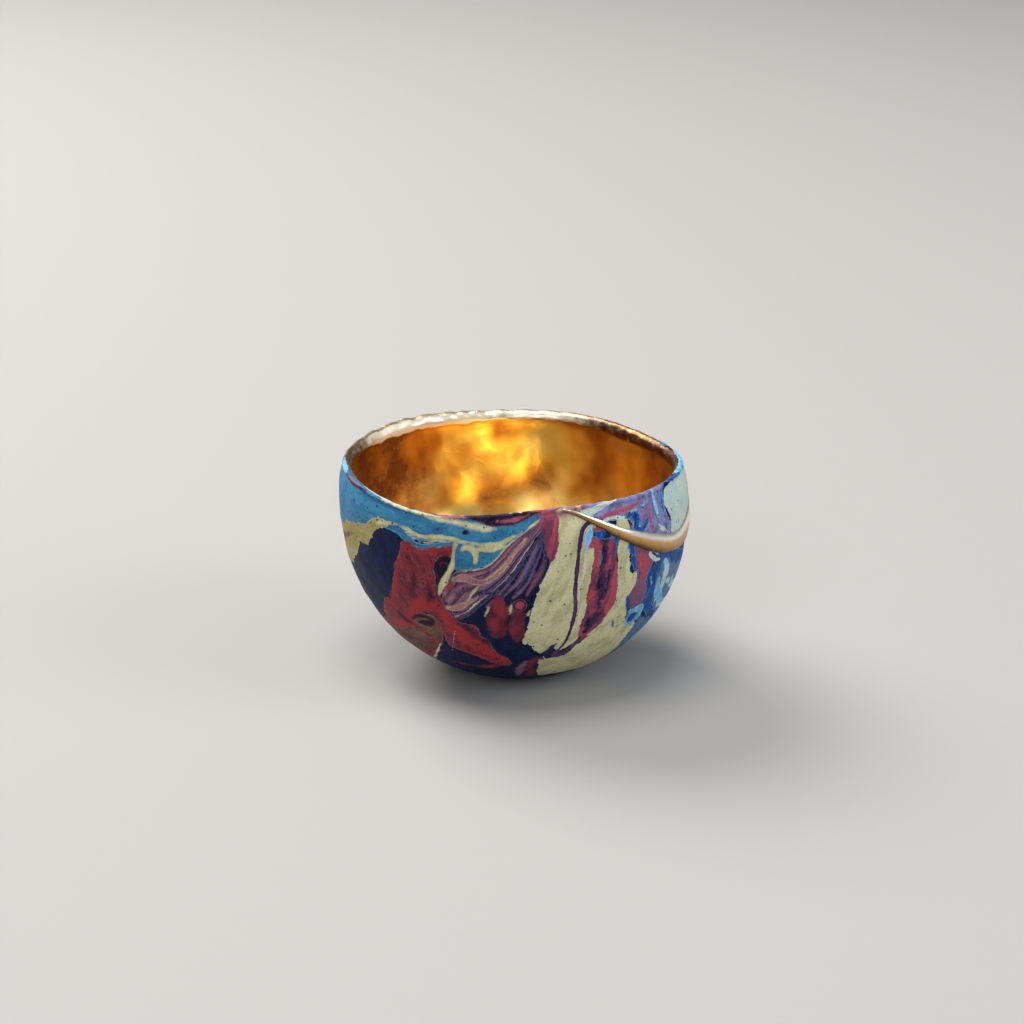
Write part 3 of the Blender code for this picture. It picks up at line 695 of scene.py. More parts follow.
marbling = {
    "reach": 4.0,  # mm, the furthest distance from a pour's edge that is kept
    "lineStep": 4,  # points between two given ones
    "leastHalf": 0.02,  # mm, of a thread's half width
    "leastRadius": 20.0,  # mm, of the wall where reach is turned into degrees
    "pastShoulder": 3.2,  # mm over the lip that still carry paint
    "thickest": 0.09,  # mm, of the paint's relief
    "levelSeed": 17,
    "edgeSlope": (0.10, -0.25),  # mm from a pour's edge over which its relief rises
    "reliefStart": (9, 14),  # mm up the wall over which the relief comes in
    "reliefEnd": 1.6,  # mm past the shoulder where it is gone
    # The front's pours come again on the hidden side, turned, swayed and lifted. Each sway and lift is
    # a size, the waves round the cup, their start in degrees and the mm up the wall for a radian.
    "backTurn": 180.0,
    "backSway": ((9.0, 2, 50, math.inf), (4.5, 5, 0, 6)),
    "backLift": ((2.2, 3, 20, 14), (0.88, 7, 0, -5)),
    "liftFade": (66, 58),
    "backDrop": 0.5,
    "backStart": (118, 98),  # degrees from the front between which the copy gives way
    "backGap": 9,  # mm
    "farAside": 60,  # degrees, and mm up the wall, well clear of the bundle
    "farAbove": 100,
    "farBelow": -50,
    "leastBundle": 0.3,  # mm, of the bundle's width
    "shareLimits": (-1, 2),
    "frontHalf": 90,  # degrees to each side that carry the front's own bundle
}


# Distance from each place to a line on the wall, less the line's own half width
def distanceToLine(places, line):
    ends = onWall(line[:, 0], line[:, 1])
    halves = np.clip(line[:, 2], marbling["leastHalf"], None) if line.shape[1] > 2 else np.zeros(len(line))
    nearest = np.full(len(places), np.inf)
    for start, end, low, high in zip(ends[:-1], ends[1:], halves[:-1], halves[1:]):
        run = end - start
        share = np.clip((places - start) @ run / max(run @ run, tiny), 0, 1)
        away = np.linalg.norm(places - start - share[:, None] * run, axis=1)
        nearest = np.minimum(nearest, away - low - (high - low) * share)
    return nearest


def insideOutline(degrees, along, line):
    inside = np.zeros(len(degrees), bool)
    for (az0, s0), (az1, s1) in zip(line[:-1], line[1:]):
        crosses = (s0 > along) != (s1 > along)
        rise = s1 - s0 if abs(s1 - s0) > tiny else tiny
        inside ^= crosses & (degrees < az0 + (az1 - az0) * (along - s0) / rise)
    return inside


# Signed distance to a coat's paint, negative where the paint is, at places on the wall
def coatEdge(coat, degrees, along, places):
    reach = marbling["reach"]
    margin = math.degrees(reach / marbling["leastRadius"])
    edge = np.full(len(degrees), reach)
    for kind in ("areas", "threads"):
        for pour in coat[kind]:
            line = smoothLine(pour, kind == "areas", marbling["lineStep"])
            near = (degrees > line[:, 0].min() - margin) & (degrees < line[:, 0].max() + margin)
            near &= (along > line[:, 1].min() - reach) & (along < line[:, 1].max() + reach)
            if not near.any():
                continue
            found = distanceToLine(places[near], line)
            if kind == "areas":
                found = np.where(insideOutline(degrees[near], along[near], line), -found, found)
            edge[near] = np.minimum(edge[near], found)
    return np.clip(edge, -reach, reach)


def wander(parts, degrees, along):
    total = 0.0
    for size, count, start, pitch in parts:
        total = total + size * np.sin(np.radians(count * degrees + start) + along / pitch)
    return total


def meshSpots(mesh):
    spots = np.empty(len(mesh.vertices) * 3)
    mesh.vertices.foreach_get("co", spots)
    return spots.reshape(-1, 3)


# Lifts the wall outwards by the paint's own thickness, in mm
def raisePaint(mesh, relief):
    normals = np.empty(len(relief) * 3)
    mesh.vertex_normals.foreach_get("vector", normals)
    raised = meshSpots(mesh) + normals.reshape(-1, 3) * (relief * mm)[:, None]
    mesh.vertices.foreach_set("co", raised.ravel())
    mesh.update()


# Where a place lies between the bundle's lower edge, 0, and its upper edge, 1
def bundleShare(degrees, along):
    places = onWall(degrees, along)
    apart = []
    for line, far in ((bundleLine, marbling["farAbove"]), (bundleTop, marbling["farBelow"])):
        curve = smoothLine(line, False, marbling["lineStep"])
        corners = [(marbling["farAside"], far), (-marbling["farAside"], far)]
        inside = insideOutline(degrees, along, np.concatenate([curve, corners, curve[:1]]))
        apart.append(np.where(inside, 1, -1) * distanceToLine(places, curve))
    lower, upper = apart
    return np.clip(lower / np.clip(lower + upper, marbling["leastBundle"], None), *marbling["shareLimits"])


def storeMarbling():
    mesh, reach = sakeBowl.data, marbling["reach"]
    outside = vertexAlong < shoulderAlong + marbling["pastShoulder"]
    degrees, along = vertexDegrees[outside], vertexAlong[outside]
    places = onWall(degrees, along)
    backDegrees = turnFrom(marbling["backTurn"], degrees, 360) + wander(marbling["backSway"], degrees, along)
    lift = wander(marbling["backLift"], degrees, along) * smooth(*marbling["liftFade"], along)
    backAlong = along + lift - marbling["backDrop"]
    backPlaces = onWall(backDegrees, backAlong)
    offFront = marbling["backGap"] * smooth(*marbling["backStart"], np.abs(degrees))
    rng = np.random.default_rng(marbling["levelSeed"])
    relief = np.zeros(len(vertexDegrees))
    for coat in coats:
        edge = np.full(len(vertexDegrees), reach)
        front = coatEdge(coat, degrees, along, places)
        back = coatEdge(coat, backDegrees, backAlong, backPlaces)
        edge[outside] = np.minimum(front, back + offFront)
        storeValue(mesh, coat["name"], np.clip(edge, -reach, reach))
        level = rng.uniform(0.0, marbling["thickest"])
        relief += smooth(*marbling["edgeSlope"], edge) * (level - relief)
    relief = relief * smooth(*marbling["reliefStart"], vertexAlong)
    raisePaint(mesh, relief * smooth(shoulderAlong + marbling["reliefEnd"], shoulderAlong, vertexAlong))
    share = np.zeros(len(vertexDegrees))
    onFront = np.abs(degrees) < marbling["frontHalf"]
    share[outside] = np.where(onFront, bundleShare(degrees, along), bundleShare(backDegrees, backAlong))
    storeValue(mesh, "bundleShare", share)


storeMarbling()
print("marbling laid out,", len(coats), "coats")


# Gilding on the lip: the paint stops where the gold starts

gilding = {
    "frontEdge": 1.78,  # mm past the shoulder, measured over the lip
    "backEdge": -0.35,
    "toBack": (105, 140),  # degrees over which the edge goes to the back's
    "toBackLeft": (-78, -112),
    "ragged": (0.16, 21, 4.0),  # depth in mm, seed and length
    "keep": 4,  # mm, the furthest distance from the edge that is kept
    "floorTone": 0.42,
    "floorSpan": (14.0, 5.0),  # radius over which the floor's one even tone comes in
    "cloudy": (0.08, 31, 9.0),
    # round the inside: azimuth and how dark the gold is there, partly tarnish and partly painted reflection
    "tarnishAndReflectionRound": (
        (-180, 0.34), (-154, 0.36), (-144, 0.76), (-130, 0.88), (-100, 0.85), (-60, 0.60), (0, 0.40),
        (70, 0.45), (100, 0.78), (121, 0.72), (126, 0.34), (141, 0.34), (147, 0.68), (157, 0.62),
        (163, 0.32), (180, 0.34),
    ),
    # painted reflection patches: azimuth, height in mm, half the width in degrees and height in mm, and how
    # much darker they make the gold, lighter where the amount is below zero
    "patches": (
        (171, 28.5, 9.0, 3.6, 0.42), (-176, 25.0, 14.0, 3.0, 0.42), (164, 36.0, 8.0, 4.2, -0.50),
        (-163, 34.0, 8.0, 3.5, 0.08), (150, 24.0, 6.0, 2.2, -0.45), (-150, 38.0, 3.0, 2.5, 0.30),
        (-176, 39.5, 9.0, 1.6, 0.30), (160, 29.0, 3.5, 3.0, -0.45),
    ),
    "patchFray": 0.9,  # how far noise breaks up the patches
    # round the lip: azimuth, how far its pale band runs on down the inner wall in mm, and how pale it is; the
    # pale band is partly worn gold and partly painted highlight
    "lipRound": (
        (-180, 0.3, 0.74), (-170, 0.4, 0.80), (-164, 1.2, 1.15), (-122, 1.4, 1.15), (-112, 0.6, 0.50),
        (-98, -0.2, 0.15), (-60, -0.2, 0.45), (0, 0.0, 0.60), (60, 0.0, 0.40), (98, 1.5, 0.08),
        (136, 1.9, 0.12), (146, 1.0, 0.30), (158, 0.3, 0.62), (180, 0.3, 0.74),
    ),
    "scallops": (0.15, 41, 3.4),
}


def storeGilding():
    mesh, azimuth = sakeBowl.data, np.radians(vertexDegrees)
    toBack = smooth(*gilding["toBack"], np.abs(vertexDegrees))
    toBack = np.maximum(toBack, smooth(*gilding["toBackLeft"], vertexDegrees))
    stop = gilding["frontEdge"] + (gilding["backEdge"] - gilding["frontEdge"]) * toBack
    edge = shoulderAlong + stop + ripples(azimuth, 0.0, *gilding["ragged"]) - vertexAlong
    storeValue(mesh, "gildedEdge", np.clip(edge, -gilding["keep"], gilding["keep"]))
    # How dark the gold is inside: partly tarnish and partly painted reflection, with painted bright and dark
    # reflections in patches
    tarnishAndReflection = np.interp(vertexDegrees, *np.array(gilding["tarnishAndReflectionRound"]).T)
    spots = meshSpots(mesh) / mm
    for spotDegrees, spotHeight, halfTurn, halfHeight, amount in gilding["patches"]:
        aside = turnFrom(spotDegrees, vertexDegrees, 360) / halfTurn
        above = (spots[:, 2] - spotHeight) / halfHeight
        tarnishAndReflection = tarnishAndReflection + amount * np.exp(-(aside**2) - above**2)
    onFloor = smooth(*gilding["floorSpan"], np.hypot(spots[:, 0], spots[:, 1]))
    tarnishAndReflection = tarnishAndReflection + (gilding["floorTone"] - tarnishAndReflection) * onFloor
    storeValue(mesh, "tarnishAndReflection", tarnishAndReflection + spaceRipples(spots, *gilding["cloudy"]))
    # The lip's pale band: partly worn gold and partly a painted highlight
    lipDegrees, lipReach, lipPale = np.array(gilding["lipRound"]).T
    pale = np.interp(vertexDegrees, lipDegrees, lipPale)
    stop = np.interp(vertexDegrees, lipDegrees, lipReach) + pale * ripples(azimuth, 0.0, *gilding["scallops"])
    storeValue(mesh, "overLip", vertexAlong - shoulderAlong - stop)
    storeValue(mesh, "lipPaleAndHighlight", pale)


storeGilding()


# Small helpers for nodes

def setInput(tree, socket, value):
    if isinstance(value, bpy.types.NodeSocket):
        tree.links.new(value, socket)
    else:
        socket.default_value = value


def addNode(tree, kind, values, **settings):
    made = tree.nodes.new("ShaderNode" + kind)
    for name, value in settings.items():
        setattr(made, name, value)
    for key, value in values.items():
        setInput(tree, made.inputs[key], value)
    return made


def calc(tree, operation, first, second=0.0, third=0.0):
    return addNode(tree, "Math", {0: first, 1: second, 2: third}, operation=operation).outputs[0]


def addVectors(tree, first, second):
    return addNode(tree, "VectorMath", {0: first, 1: second}, operation="ADD").outputs[0]


def scaleVector(tree, vector, scale):
    return addNode(tree, "VectorMath", {0: vector, "Scale": scale}, operation="SCALE").outputs[0]


def blendColour(tree, factor, first, second, mode="MIX"):
    return addNode(tree, "Mix", {0: factor, 6: first, 7: second}, data_type="RGBA", blend_type=mode).outputs[2]


# Rises from 0 to 1 as the value goes from low to high
def climb(tree, value, low=0.0, high=1.0):
    values = {"Value": value, "From Min": low, "From Max": high}
    return addNode(tree, "MapRange", values, interpolation_type="SMOOTHSTEP").outputs[0]


# Falls from 1 to 0 as the value goes from low to high
def fall(tree, value, low, high):
    values = {"Value": value, "From Min": low, "From Max": high, "To Min": 1.0, "To Max": 0.0}
    return addNode(tree, "MapRange", values, interpolation_type="SMOOTHSTEP").outputs[0]


def readValue(tree, name):
    return addNode(tree, "Attribute", {}, attribute_name=name).outputs["Fac"]


# The object's own coordinates, in millimetres
def placeInMm(tree):
    return scaleVector(tree, addNode(tree, "TexCoord", {}).outputs["Object"], 1 / mm)


def noiseAt(tree, place, scale, detail=2.0, roughness=0.5, distortion=0.0):
    values = {
        "Vector": place, "Scale": scale, "Detail": detail, "Roughness": roughness, "Distortion": distortion,
    }
    return addNode(tree, "TexNoise", values).outputs[0]


# Noise about zero
def swing(tree, noise, strength):
    return calc(tree, "MULTIPLY", calc(tree, "SUBTRACT", noise, 0.5), strength)


def colourRamp(tree, value, stops):
    ramp = addNode(tree, "ValToRGB", {0: value})
    points = ramp.color_ramp.elements
    while len(points) < len(stops):
        points.new(1.0)
    for point, (start, colour) in zip(points, stops):
        point.position = start
        point.color = colour
    return ramp.outputs[0]


# Inputs are named with their kind, or with a number where a number is taken
def makeGroup(name, inputs, outputs):
    group = bpy.data.node_groups.new(name, "ShaderNodeTree")
    for socket, given in inputs.items():
        kind = "Float" if isinstance(given, float) else given
        made = group.interface.new_socket(socket, in_out="INPUT", socket_type="NodeSocket" + kind)
        if kind == "Float":
            made.default_value = given
    for socket, kind in outputs.items():
        group.interface.new_socket(socket, in_out="OUTPUT", socket_type="NodeSocket" + kind)
    return group, group.nodes.new("NodeGroupInput").outputs, group.nodes.new("NodeGroupOutput").inputs


def useGroup(tree, group, values):
    return addNode(tree, "Group", values, node_tree=group).outputs


# One coat of poured paint over what lies under it, with streaks that follow its edge

pourLook = {
    "stretch": 0.86,  # share by which the streaks are drawn out along the flow
    "followEdge": 0.5,
    "noise": (0.55, 3.0, 0.62),  # of each noise: scale, detail and roughness
    "lanes": (0.40, 0.66),
    "veins": 7.0,
    "veinWidth": (0.02, 0.10),
    "veinStrength": 0.38,
    "lineInset": 0.14,  # mm from the edge to the fine line within it
    "lineWidth": (0.03, 0.13),
}


def makeCoatGroup():
    look = pourLook
    group, given, result = makeGroup(
        "pouredCoat",
        {
            "Under": "Color", "Edge": 1.0, "Fray": 0.0, "Place": "Vector", "Flow": "Vector", "Paint": "Color",
            "Second": "Color", "Rim": "Color", "Streaks": 0.6, "Softness": 0.06, "Rim Strength": 0.5,
        },
        {"Color": "Color"},
    )
    frayed = calc(group, "ADD", given["Edge"], given["Fray"])
    mask = fall(group, frayed, calc(group, "MULTIPLY", given["Softness"], -1.0), given["Softness"])
    ahead = addNode(group, "VectorMath", {0: given["Place"], 1: given["Flow"]}, operation="DOT_PRODUCT")
    back = calc(group, "MULTIPLY", ahead.outputs["Value"], -look["stretch"])
    squeezed = addVectors(group, given["Place"], scaleVector(group, given["Flow"], back))
    lane = addNode(group, "CombineXYZ", {0: calc(group, "MULTIPLY", frayed, look["followEdge"])}).outputs[0]
    noise = noiseAt(group, addVectors(group, lane, squeezed), *look["noise"])
    streaks = calc(group, "MULTIPLY", climb(group, noise, *look["lanes"]), given["Streaks"])
    body = blendColour(group, streaks, given["Paint"], given["Second"])
    veins = calc(group, "SUBTRACT", calc(group, "FRACT", calc(group, "MULTIPLY", noise, look["veins"])), 0.5)
    veins = fall(group, calc(group, "ABSOLUTE", veins), *look["veinWidth"])
    strength = calc(group, "MULTIPLY", given["Streaks"], look["veinStrength"])
    body = blendColour(group, calc(group, "MULTIPLY", veins, strength), body, given["Rim"])
    inset = calc(group, "ABSOLUTE", calc(group, "ADD", frayed, look["lineInset"]))
    line = calc(group, "MULTIPLY", fall(group, inset, *look["lineWidth"]), given["Rim Strength"])
    body = blendColour(group, line, body, given["Rim"])
    group.links.new(blendColour(group, mask, given["Under"], body), result["Color"])
    return group


# Pinholes in the paint, painted dark as shade in them, and a fine uneven grain

holeLook = {
    "least": 0.35,  # share of the cells without a hole
    "edge": (0.6, 1.5),  # shares of its size between which a hole fades
    "grain": (2.2, 4.0, 0.65),
}


def makePinholeGroup():
    look = holeLook
    group, given, result = makeGroup(
        "pinholes", {"Place": "Vector", "Spacing": 2.6, "Size": 0.16}, {"Holes": "Float", "Grain": "Float"}
    )
    scale = calc(group, "DIVIDE", 1.0, given["Spacing"])
    cells = addNode(group, "TexVoronoi", {"Vector": given["Place"], "Scale": scale})
    chance = addNode(group, "SeparateColor", {0: cells.outputs["Color"]}).outputs[0]
    away = calc(group, "MULTIPLY", cells.outputs["Distance"], given["Spacing"])
    size = calc(group, "MULTIPLY", given["Size"], calc(group, "ADD", chance, look["least"]))
    hole = fall(group, away, *(calc(group, "MULTIPLY", size, share) for share in look["edge"]))
    there = calc(group, "GREATER_THAN", chance, look["least"])
    group.links.new(calc(group, "MULTIPLY", hole, there), result["Holes"])
    group.links.new(noiseAt(group, given["Place"], *look["grain"]), result["Grain"])
    return group


# Hand-laid gold leaf: creases, overlaps and worn darker places

leafLook = {
    "broad": (3.0, 0.55),  # detail and roughness, at the leaf's own scale
    "fine": (1.6, 4.0, 0.7),
    "fineShare": 0.3,  # of the wear
    "folds": (1.3, 1.2),  # scale against the leaf's own, and distortion
    "creaseWidth": 0.05,
    "creaseHeight": -0.08,
    "worn": (0.55, 1.0),
    "broadHeight": 2.0,
    "fineHeight": 0.12,
}


def makeLeafGroup():
    look = leafLook
    group, given, result = makeGroup(
        "goldLeaf",
        {"Place": "Vector", "Bright": "Color", "Dark": "Color", "Wear": 0.3, "Size": 3.0},
        {"Color": "Color", "Worn": "Float", "Height": "Float"},
    )
    place = given["Place"]
    scale = calc(group, "DIVIDE", 1.0, given["Size"])
    broad = noiseAt(group, place, scale, *look["broad"])
    fine = noiseAt(group, place, *look["fine"])
    foldScale, bend = look["folds"]
    folds = noiseAt(group, place, calc(group, "MULTIPLY", scale, foldScale), distortion=bend)
    level = calc(group, "MULTIPLY", broad, 1 - look["fineShare"])
    level = calc(group, "ADD", level, calc(group, "MULTIPLY", fine, look["fineShare"]))
    worn = climb(group, calc(group, "ADD", level, given["Wear"]), *look["worn"])
    group.links.new(blendColour(group, worn, given["Bright"], given["Dark"]), result["Color"])
    group.links.new(worn, result["Worn"])
    creases = calc(group, "ABSOLUTE", calc(group, "SUBTRACT", folds, 0.5))
    creases = fall(group, creases, 0.0, look["creaseWidth"])
    height = calc(group, "MULTIPLY", broad, look["broadHeight"])
    height = calc(group, "ADD", height, calc(group, "MULTIPLY", fine, look["fineHeight"]))
    height = calc(group, "ADD", height, calc(group, "MULTIPLY", creases, look["creaseHeight"]))
    group.links.new(height, result["Height"])
    return group


coatGroup = makeCoatGroup()
pinholeGroup = makePinholeGroup()
leafGroup = makeLeafGroup()


def newMaterial(name):
    material = bpy.data.materials.new(name)
    material.use_nodes = True
    tree = material.node_tree
    return material, tree, tree.nodes["Principled BSDF"]


def setShader(tree, shader, height, look, values):
    bump = addNode(tree, "Bump", {"Height": height, "Distance": look["relief"], "Strength": look["bump"]})
    for key, value in {**values, "Normal": bump.outputs[0]}.items():
        setInput(tree, shader.inputs[key], value)


marbledLook = {
    "roughness": 0.54,
    "unevenRoughness": 0.22,
    "sheen": 0.13,
    "groundNoise": (0.14, 3.0, 0.6),
    "groundBands": 34.0,
    "bandEdge": (-0.6, 0.95),
    "groundShow": 0.08,  # how far the blue bands show in the navy ground
    "holeSpacing": 1.5,
    "holeSize": 0.18,
    "holeShade": 0.85,
    "holeDepth": 1.2,
    "raisedCoats": ("topBlue", "redField", "mauveBundle", "creamField", "crimson", "mintPatch"),
    "raisedEdge": (-0.16, 0.04),
    "edgeHeight": 0.6,  # how far these coats' edges stand up, as a share of the relief
    "grain": 0.19,  # how far the grain lightens and darkens the paint
    "grainHeight": 0.8,
    "fineNoise": (1.1, 3.0, 0.6),
    "fineFray": 1.05,
    "broadNoise": (0.3,),
    "broadFray": 1.5,
    "stripeFray": 0.12,
    "grow": 0.13,  # mm by which a poured area overlaps its neighbours, so that no ground shows between
    "relief": 0.14 * mm,
    "bump": 0.8,
    "gold": paint(252, 232, 188),
    "goldWorn": paint(190, 130, 70),
    "goldDark": paint(150, 108, 60),
    "goldWear": 0.15,
    "goldSize": 2.0,
    "goldEdge": (-0.04, 0.04),
    "goldRoughness": 0.30,
    "goldUneven": 0.2,
    "rimStrength": 0.45,
    "softFrom": 0.3,  # coats this soft have no fine line within their edge
}


# The way that a coat's streaks run, from an azimuth on the wall and the angle at which they rise
def flowVector(degrees, rise):
    turn, lift = math.radians(degrees), math.radians(rise)
    return (math.cos(turn) * math.cos(lift), math.sin(turn) * math.cos(lift), math.sin(lift))


# All coats over the navy ground
def layCoats(tree, look, place, fine, fray):
    bands = calc(tree, "MULTIPLY", noiseAt(tree, place, *look["groundNoise"]), look["groundBands"])
    bands = fall(tree, calc(tree, "SINE", bands), *look["bandEdge"])
    colour = blendColour(tree, bands, colours["royal"], colours["navy"])
    colour = blendColour(tree, look["groundShow"], colours["navy"], colour)
    share = calc(tree, "MULTIPLY_ADD", fine, look["stripeFray"], readValue(tree, "bundleShare"))
    stripes = colourRamp(tree, share, [(start, colours[name]) for start, name in bundleStripes])
    for coat in coats:
        values = {
            "Under": colour,
            "Edge": readValue(tree, coat["name"]),
            "Fray": calc(tree, "MULTIPLY_ADD", fray, coat["fray"], -look["grow"] if coat["areas"] else 0.0),
            "Place": place,
            "Flow": flowVector(*coat["flow"]),
            "Paint": stripes if coat["name"] == "mauveBundle" else colours[coat["paint"]],
            "Second": colours[coat["second"]],
            "Rim": colours[coat["rim"]],
            "Streaks": coat["streaks"],
            "Softness": coat["softness"],
            "Rim Strength": look["rimStrength"] if coat["softness"] < look["softFrom"] else 0.0,
        }
        colour = useGroup(tree, coatGroup, values)["Color"]
    return colour


def makeMarbledPaint():
    material, tree, shader = newMaterial("marbledClay")
    look = marbledLook
    place = placeInMm(tree)
    fine = swing(tree, noiseAt(tree, place, *look["fineNoise"]), look["fineFray"])
    broad = swing(tree, noiseAt(tree, place, *look["broadNoise"]), look["broadFray"])
    fray = calc(tree, "ADD", fine, broad)
    colour = layCoats(tree, look, place, fine, fray)
    pin = useGroup(tree, pinholeGroup, {
        "Place": place, "Spacing": look["holeSpacing"], "Size": look["holeSize"],
    })
    shade = calc(tree, "MULTIPLY_ADD", pin["Grain"], look["grain"] * 4, 1.0 - look["grain"] * 2)
    shade = addNode(tree, "CombineColor", {0: shade, 1: shade, 2: shade}).outputs[0]
    colour = blendColour(tree, 1.0, colour, shade, "MULTIPLY")
    # Painted shade: the pinholes are darkened towards ink
    colour = blendColour(tree, calc(tree, "MULTIPLY", pin["Holes"], look["holeShade"]), colour, colours["ink"])
    leaf = useGroup(tree, leafGroup, {
        "Place": place, "Bright": look["gold"], "Dark": look["goldWorn"], "Wear": look["goldWear"],
        "Size": look["goldSize"],
    })
    gilded = fall(tree, calc(tree, "ADD", readValue(tree, "gildedEdge"), fine), *look["goldEdge"])
    # On the outer lip the gold goes pale where the painted highlight lies
    lipTone = climb(tree, calc(tree, "ADD", readValue(tree, "lipPaleAndHighlight"), fine))
    colour = blendColour(tree, gilded, colour, blendColour(tree, lipTone, look["goldDark"], leaf["Color"]))
    spread = look["unevenRoughness"]
    rough = calc(tree, "MULTIPLY_ADD", pin["Grain"], spread, look["roughness"] - spread / 2)
    goldRough = calc(tree, "MULTIPLY_ADD", leaf["Worn"], look["goldUneven"], look["goldRoughness"])
    toGold = calc(tree, "MULTIPLY", gilded, calc(tree, "SUBTRACT", goldRough, rough))
    height = calc(tree, "MULTIPLY", pin["Grain"], look["grainHeight"])
    height = calc(tree, "SUBTRACT", height, calc(tree, "MULTIPLY", pin["Holes"], look["holeDepth"]))
    for name in look["raisedCoats"]:
        raised = fall(tree, calc(tree, "ADD", readValue(tree, name), fray), *look["raisedEdge"])
        height = calc(tree, "MULTIPLY_ADD", raised, look["edgeHeight"], height)
    height = calc(tree, "ADD", height, calc(tree, "MULTIPLY", gilded, leaf["Height"]))
    setShader(tree, shader, height, look, {
        "Base Color": colour, "Metallic": gilded, "Specular IOR Level": look["sheen"],
        "Roughness": calc(tree, "ADD", rough, toGold),
    })
    return material


giltLook = {
    # share of tarnish and painted reflection, and the gold there
    "tones": [
        (0.0, paint(255, 238, 170)), (0.35, paint(248, 210, 117)), (0.70, paint(203, 143, 69)),
        (1.0, paint(136, 86, 45)),
    ],
    "shadeUnderLip": paint(150, 84, 44),  # in the shadow under the lip
    "shadow": (3.4, 3.9),  # mm past the shoulder
    "shadowStrength": 0.55,
    # The lip's near-white is partly worn gold and partly a painted highlight; lipMetal lowers its metalness so
    # that the near-white shows under any light
    "lip": paint(255, 246, 222),
    "lipBronze": paint(104, 68, 36),
    "lipEdge": (2.9, 3.3),
    "lipMetal": 0.45,  # how metallic the pale, worn part of the lip still is
    "mottleNoise": (0.55, 4.0, 0.65),
    "mottle": 1.6,
    "lipMottle": 0.8,
    "edgeMottle": 0.3,
    "broadNoise": (0.17, 1.5),
    # Mottling in the darker gold, where the tarnish and painted reflection are strongest
    "grimy": {"From Min": 0.60, "From Max": 1.0, "To Max": 0.6},  # tarnish that is mottled, and how far
    "grimyHeight": 2.4,
    "grimyRough": 0.3,
    "roughness": 0.29,
    "wornRough": 0.12,
    "wear": 0.08,
    "leafSize": 12.0,
    "relief": 0.13 * mm,
    "bump": 0.7,
}


def makeGiltInside():
    material, tree, shader = newMaterial("giltInside")
    look = giltLook
    place = placeInMm(tree)
    leaf = useGroup(tree, leafGroup, {"Place": place, "Wear": look["wear"], "Size": look["leafSize"]})
    mottle = swing(tree, noiseAt(tree, place, *look["mottleNoise"]), look["mottle"])
    broad = swing(tree, noiseAt(tree, place, *look["broadNoise"]), gilding["patchFray"])
    # The gold's tone follows the tarnish and painted reflection map, bright where a bright reflection is
    # painted
    tarnishAndReflection = calc(tree, "ADD", broad, readValue(tree, "tarnishAndReflection"))
    grimy = addNode(tree, "MapRange", {"Value": tarnishAndReflection, **look["grimy"]}).outputs[0]
    colour = colourRamp(tree, calc(tree, "MULTIPLY_ADD", mottle, grimy, tarnishAndReflection), look["tones"])
    # The pale lip band, partly worn gold and partly a painted highlight
    lipTone = calc(tree, "MULTIPLY_ADD", mottle, look["lipMottle"], readValue(tree, "lipPaleAndHighlight"))
    lipTone = climb(tree, lipTone)
    overLip = calc(tree, "MULTIPLY_ADD", mottle, look["edgeMottle"], readValue(tree, "overLip"))
    # Painted shade: a dark band on the inner wall just under the lip
    shadow = calc(tree, "MULTIPLY", fall(tree, overLip, *look["shadow"]), look["shadowStrength"])
    colour = blendColour(tree, shadow, colour, look["shadeUnderLip"])
    onLip = fall(tree, overLip, *look["lipEdge"])
    colour = blendColour(tree, onLip, colour, blendColour(tree, lipTone, look["lipBronze"], look["lip"]))
    pale = calc(tree, "MULTIPLY", onLip, lipTone)
    rough = calc(tree, "MULTIPLY_ADD", leaf["Worn"], look["wornRough"], look["roughness"])
    lumpy = calc(tree, "MULTIPLY", grimy, calc(tree, "MULTIPLY", mottle, look["grimyHeight"]))
    setShader(tree, shader, calc(tree, "ADD", leaf["Height"], lumpy), look, {
        "Base Color": colour, "Metallic": calc(tree, "MULTIPLY_ADD", pale, look["lipMetal"] - 1.0, 1.0),
        "Roughness": calc(tree, "MULTIPLY_ADD", grimy, look["grimyRough"], rough),
    })
    return material


sakeBowl.data.materials.append(makeMarbledPaint())
sakeBowl.data.materials.append(makeGiltInside())
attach(sakeBowl, "root")
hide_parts("cup_bowl")
print("paint and gilding made")


# Gold seam, in millimetres. Stations are azimuth, then shares of the depth below the lip, of the
# half width and of the height.

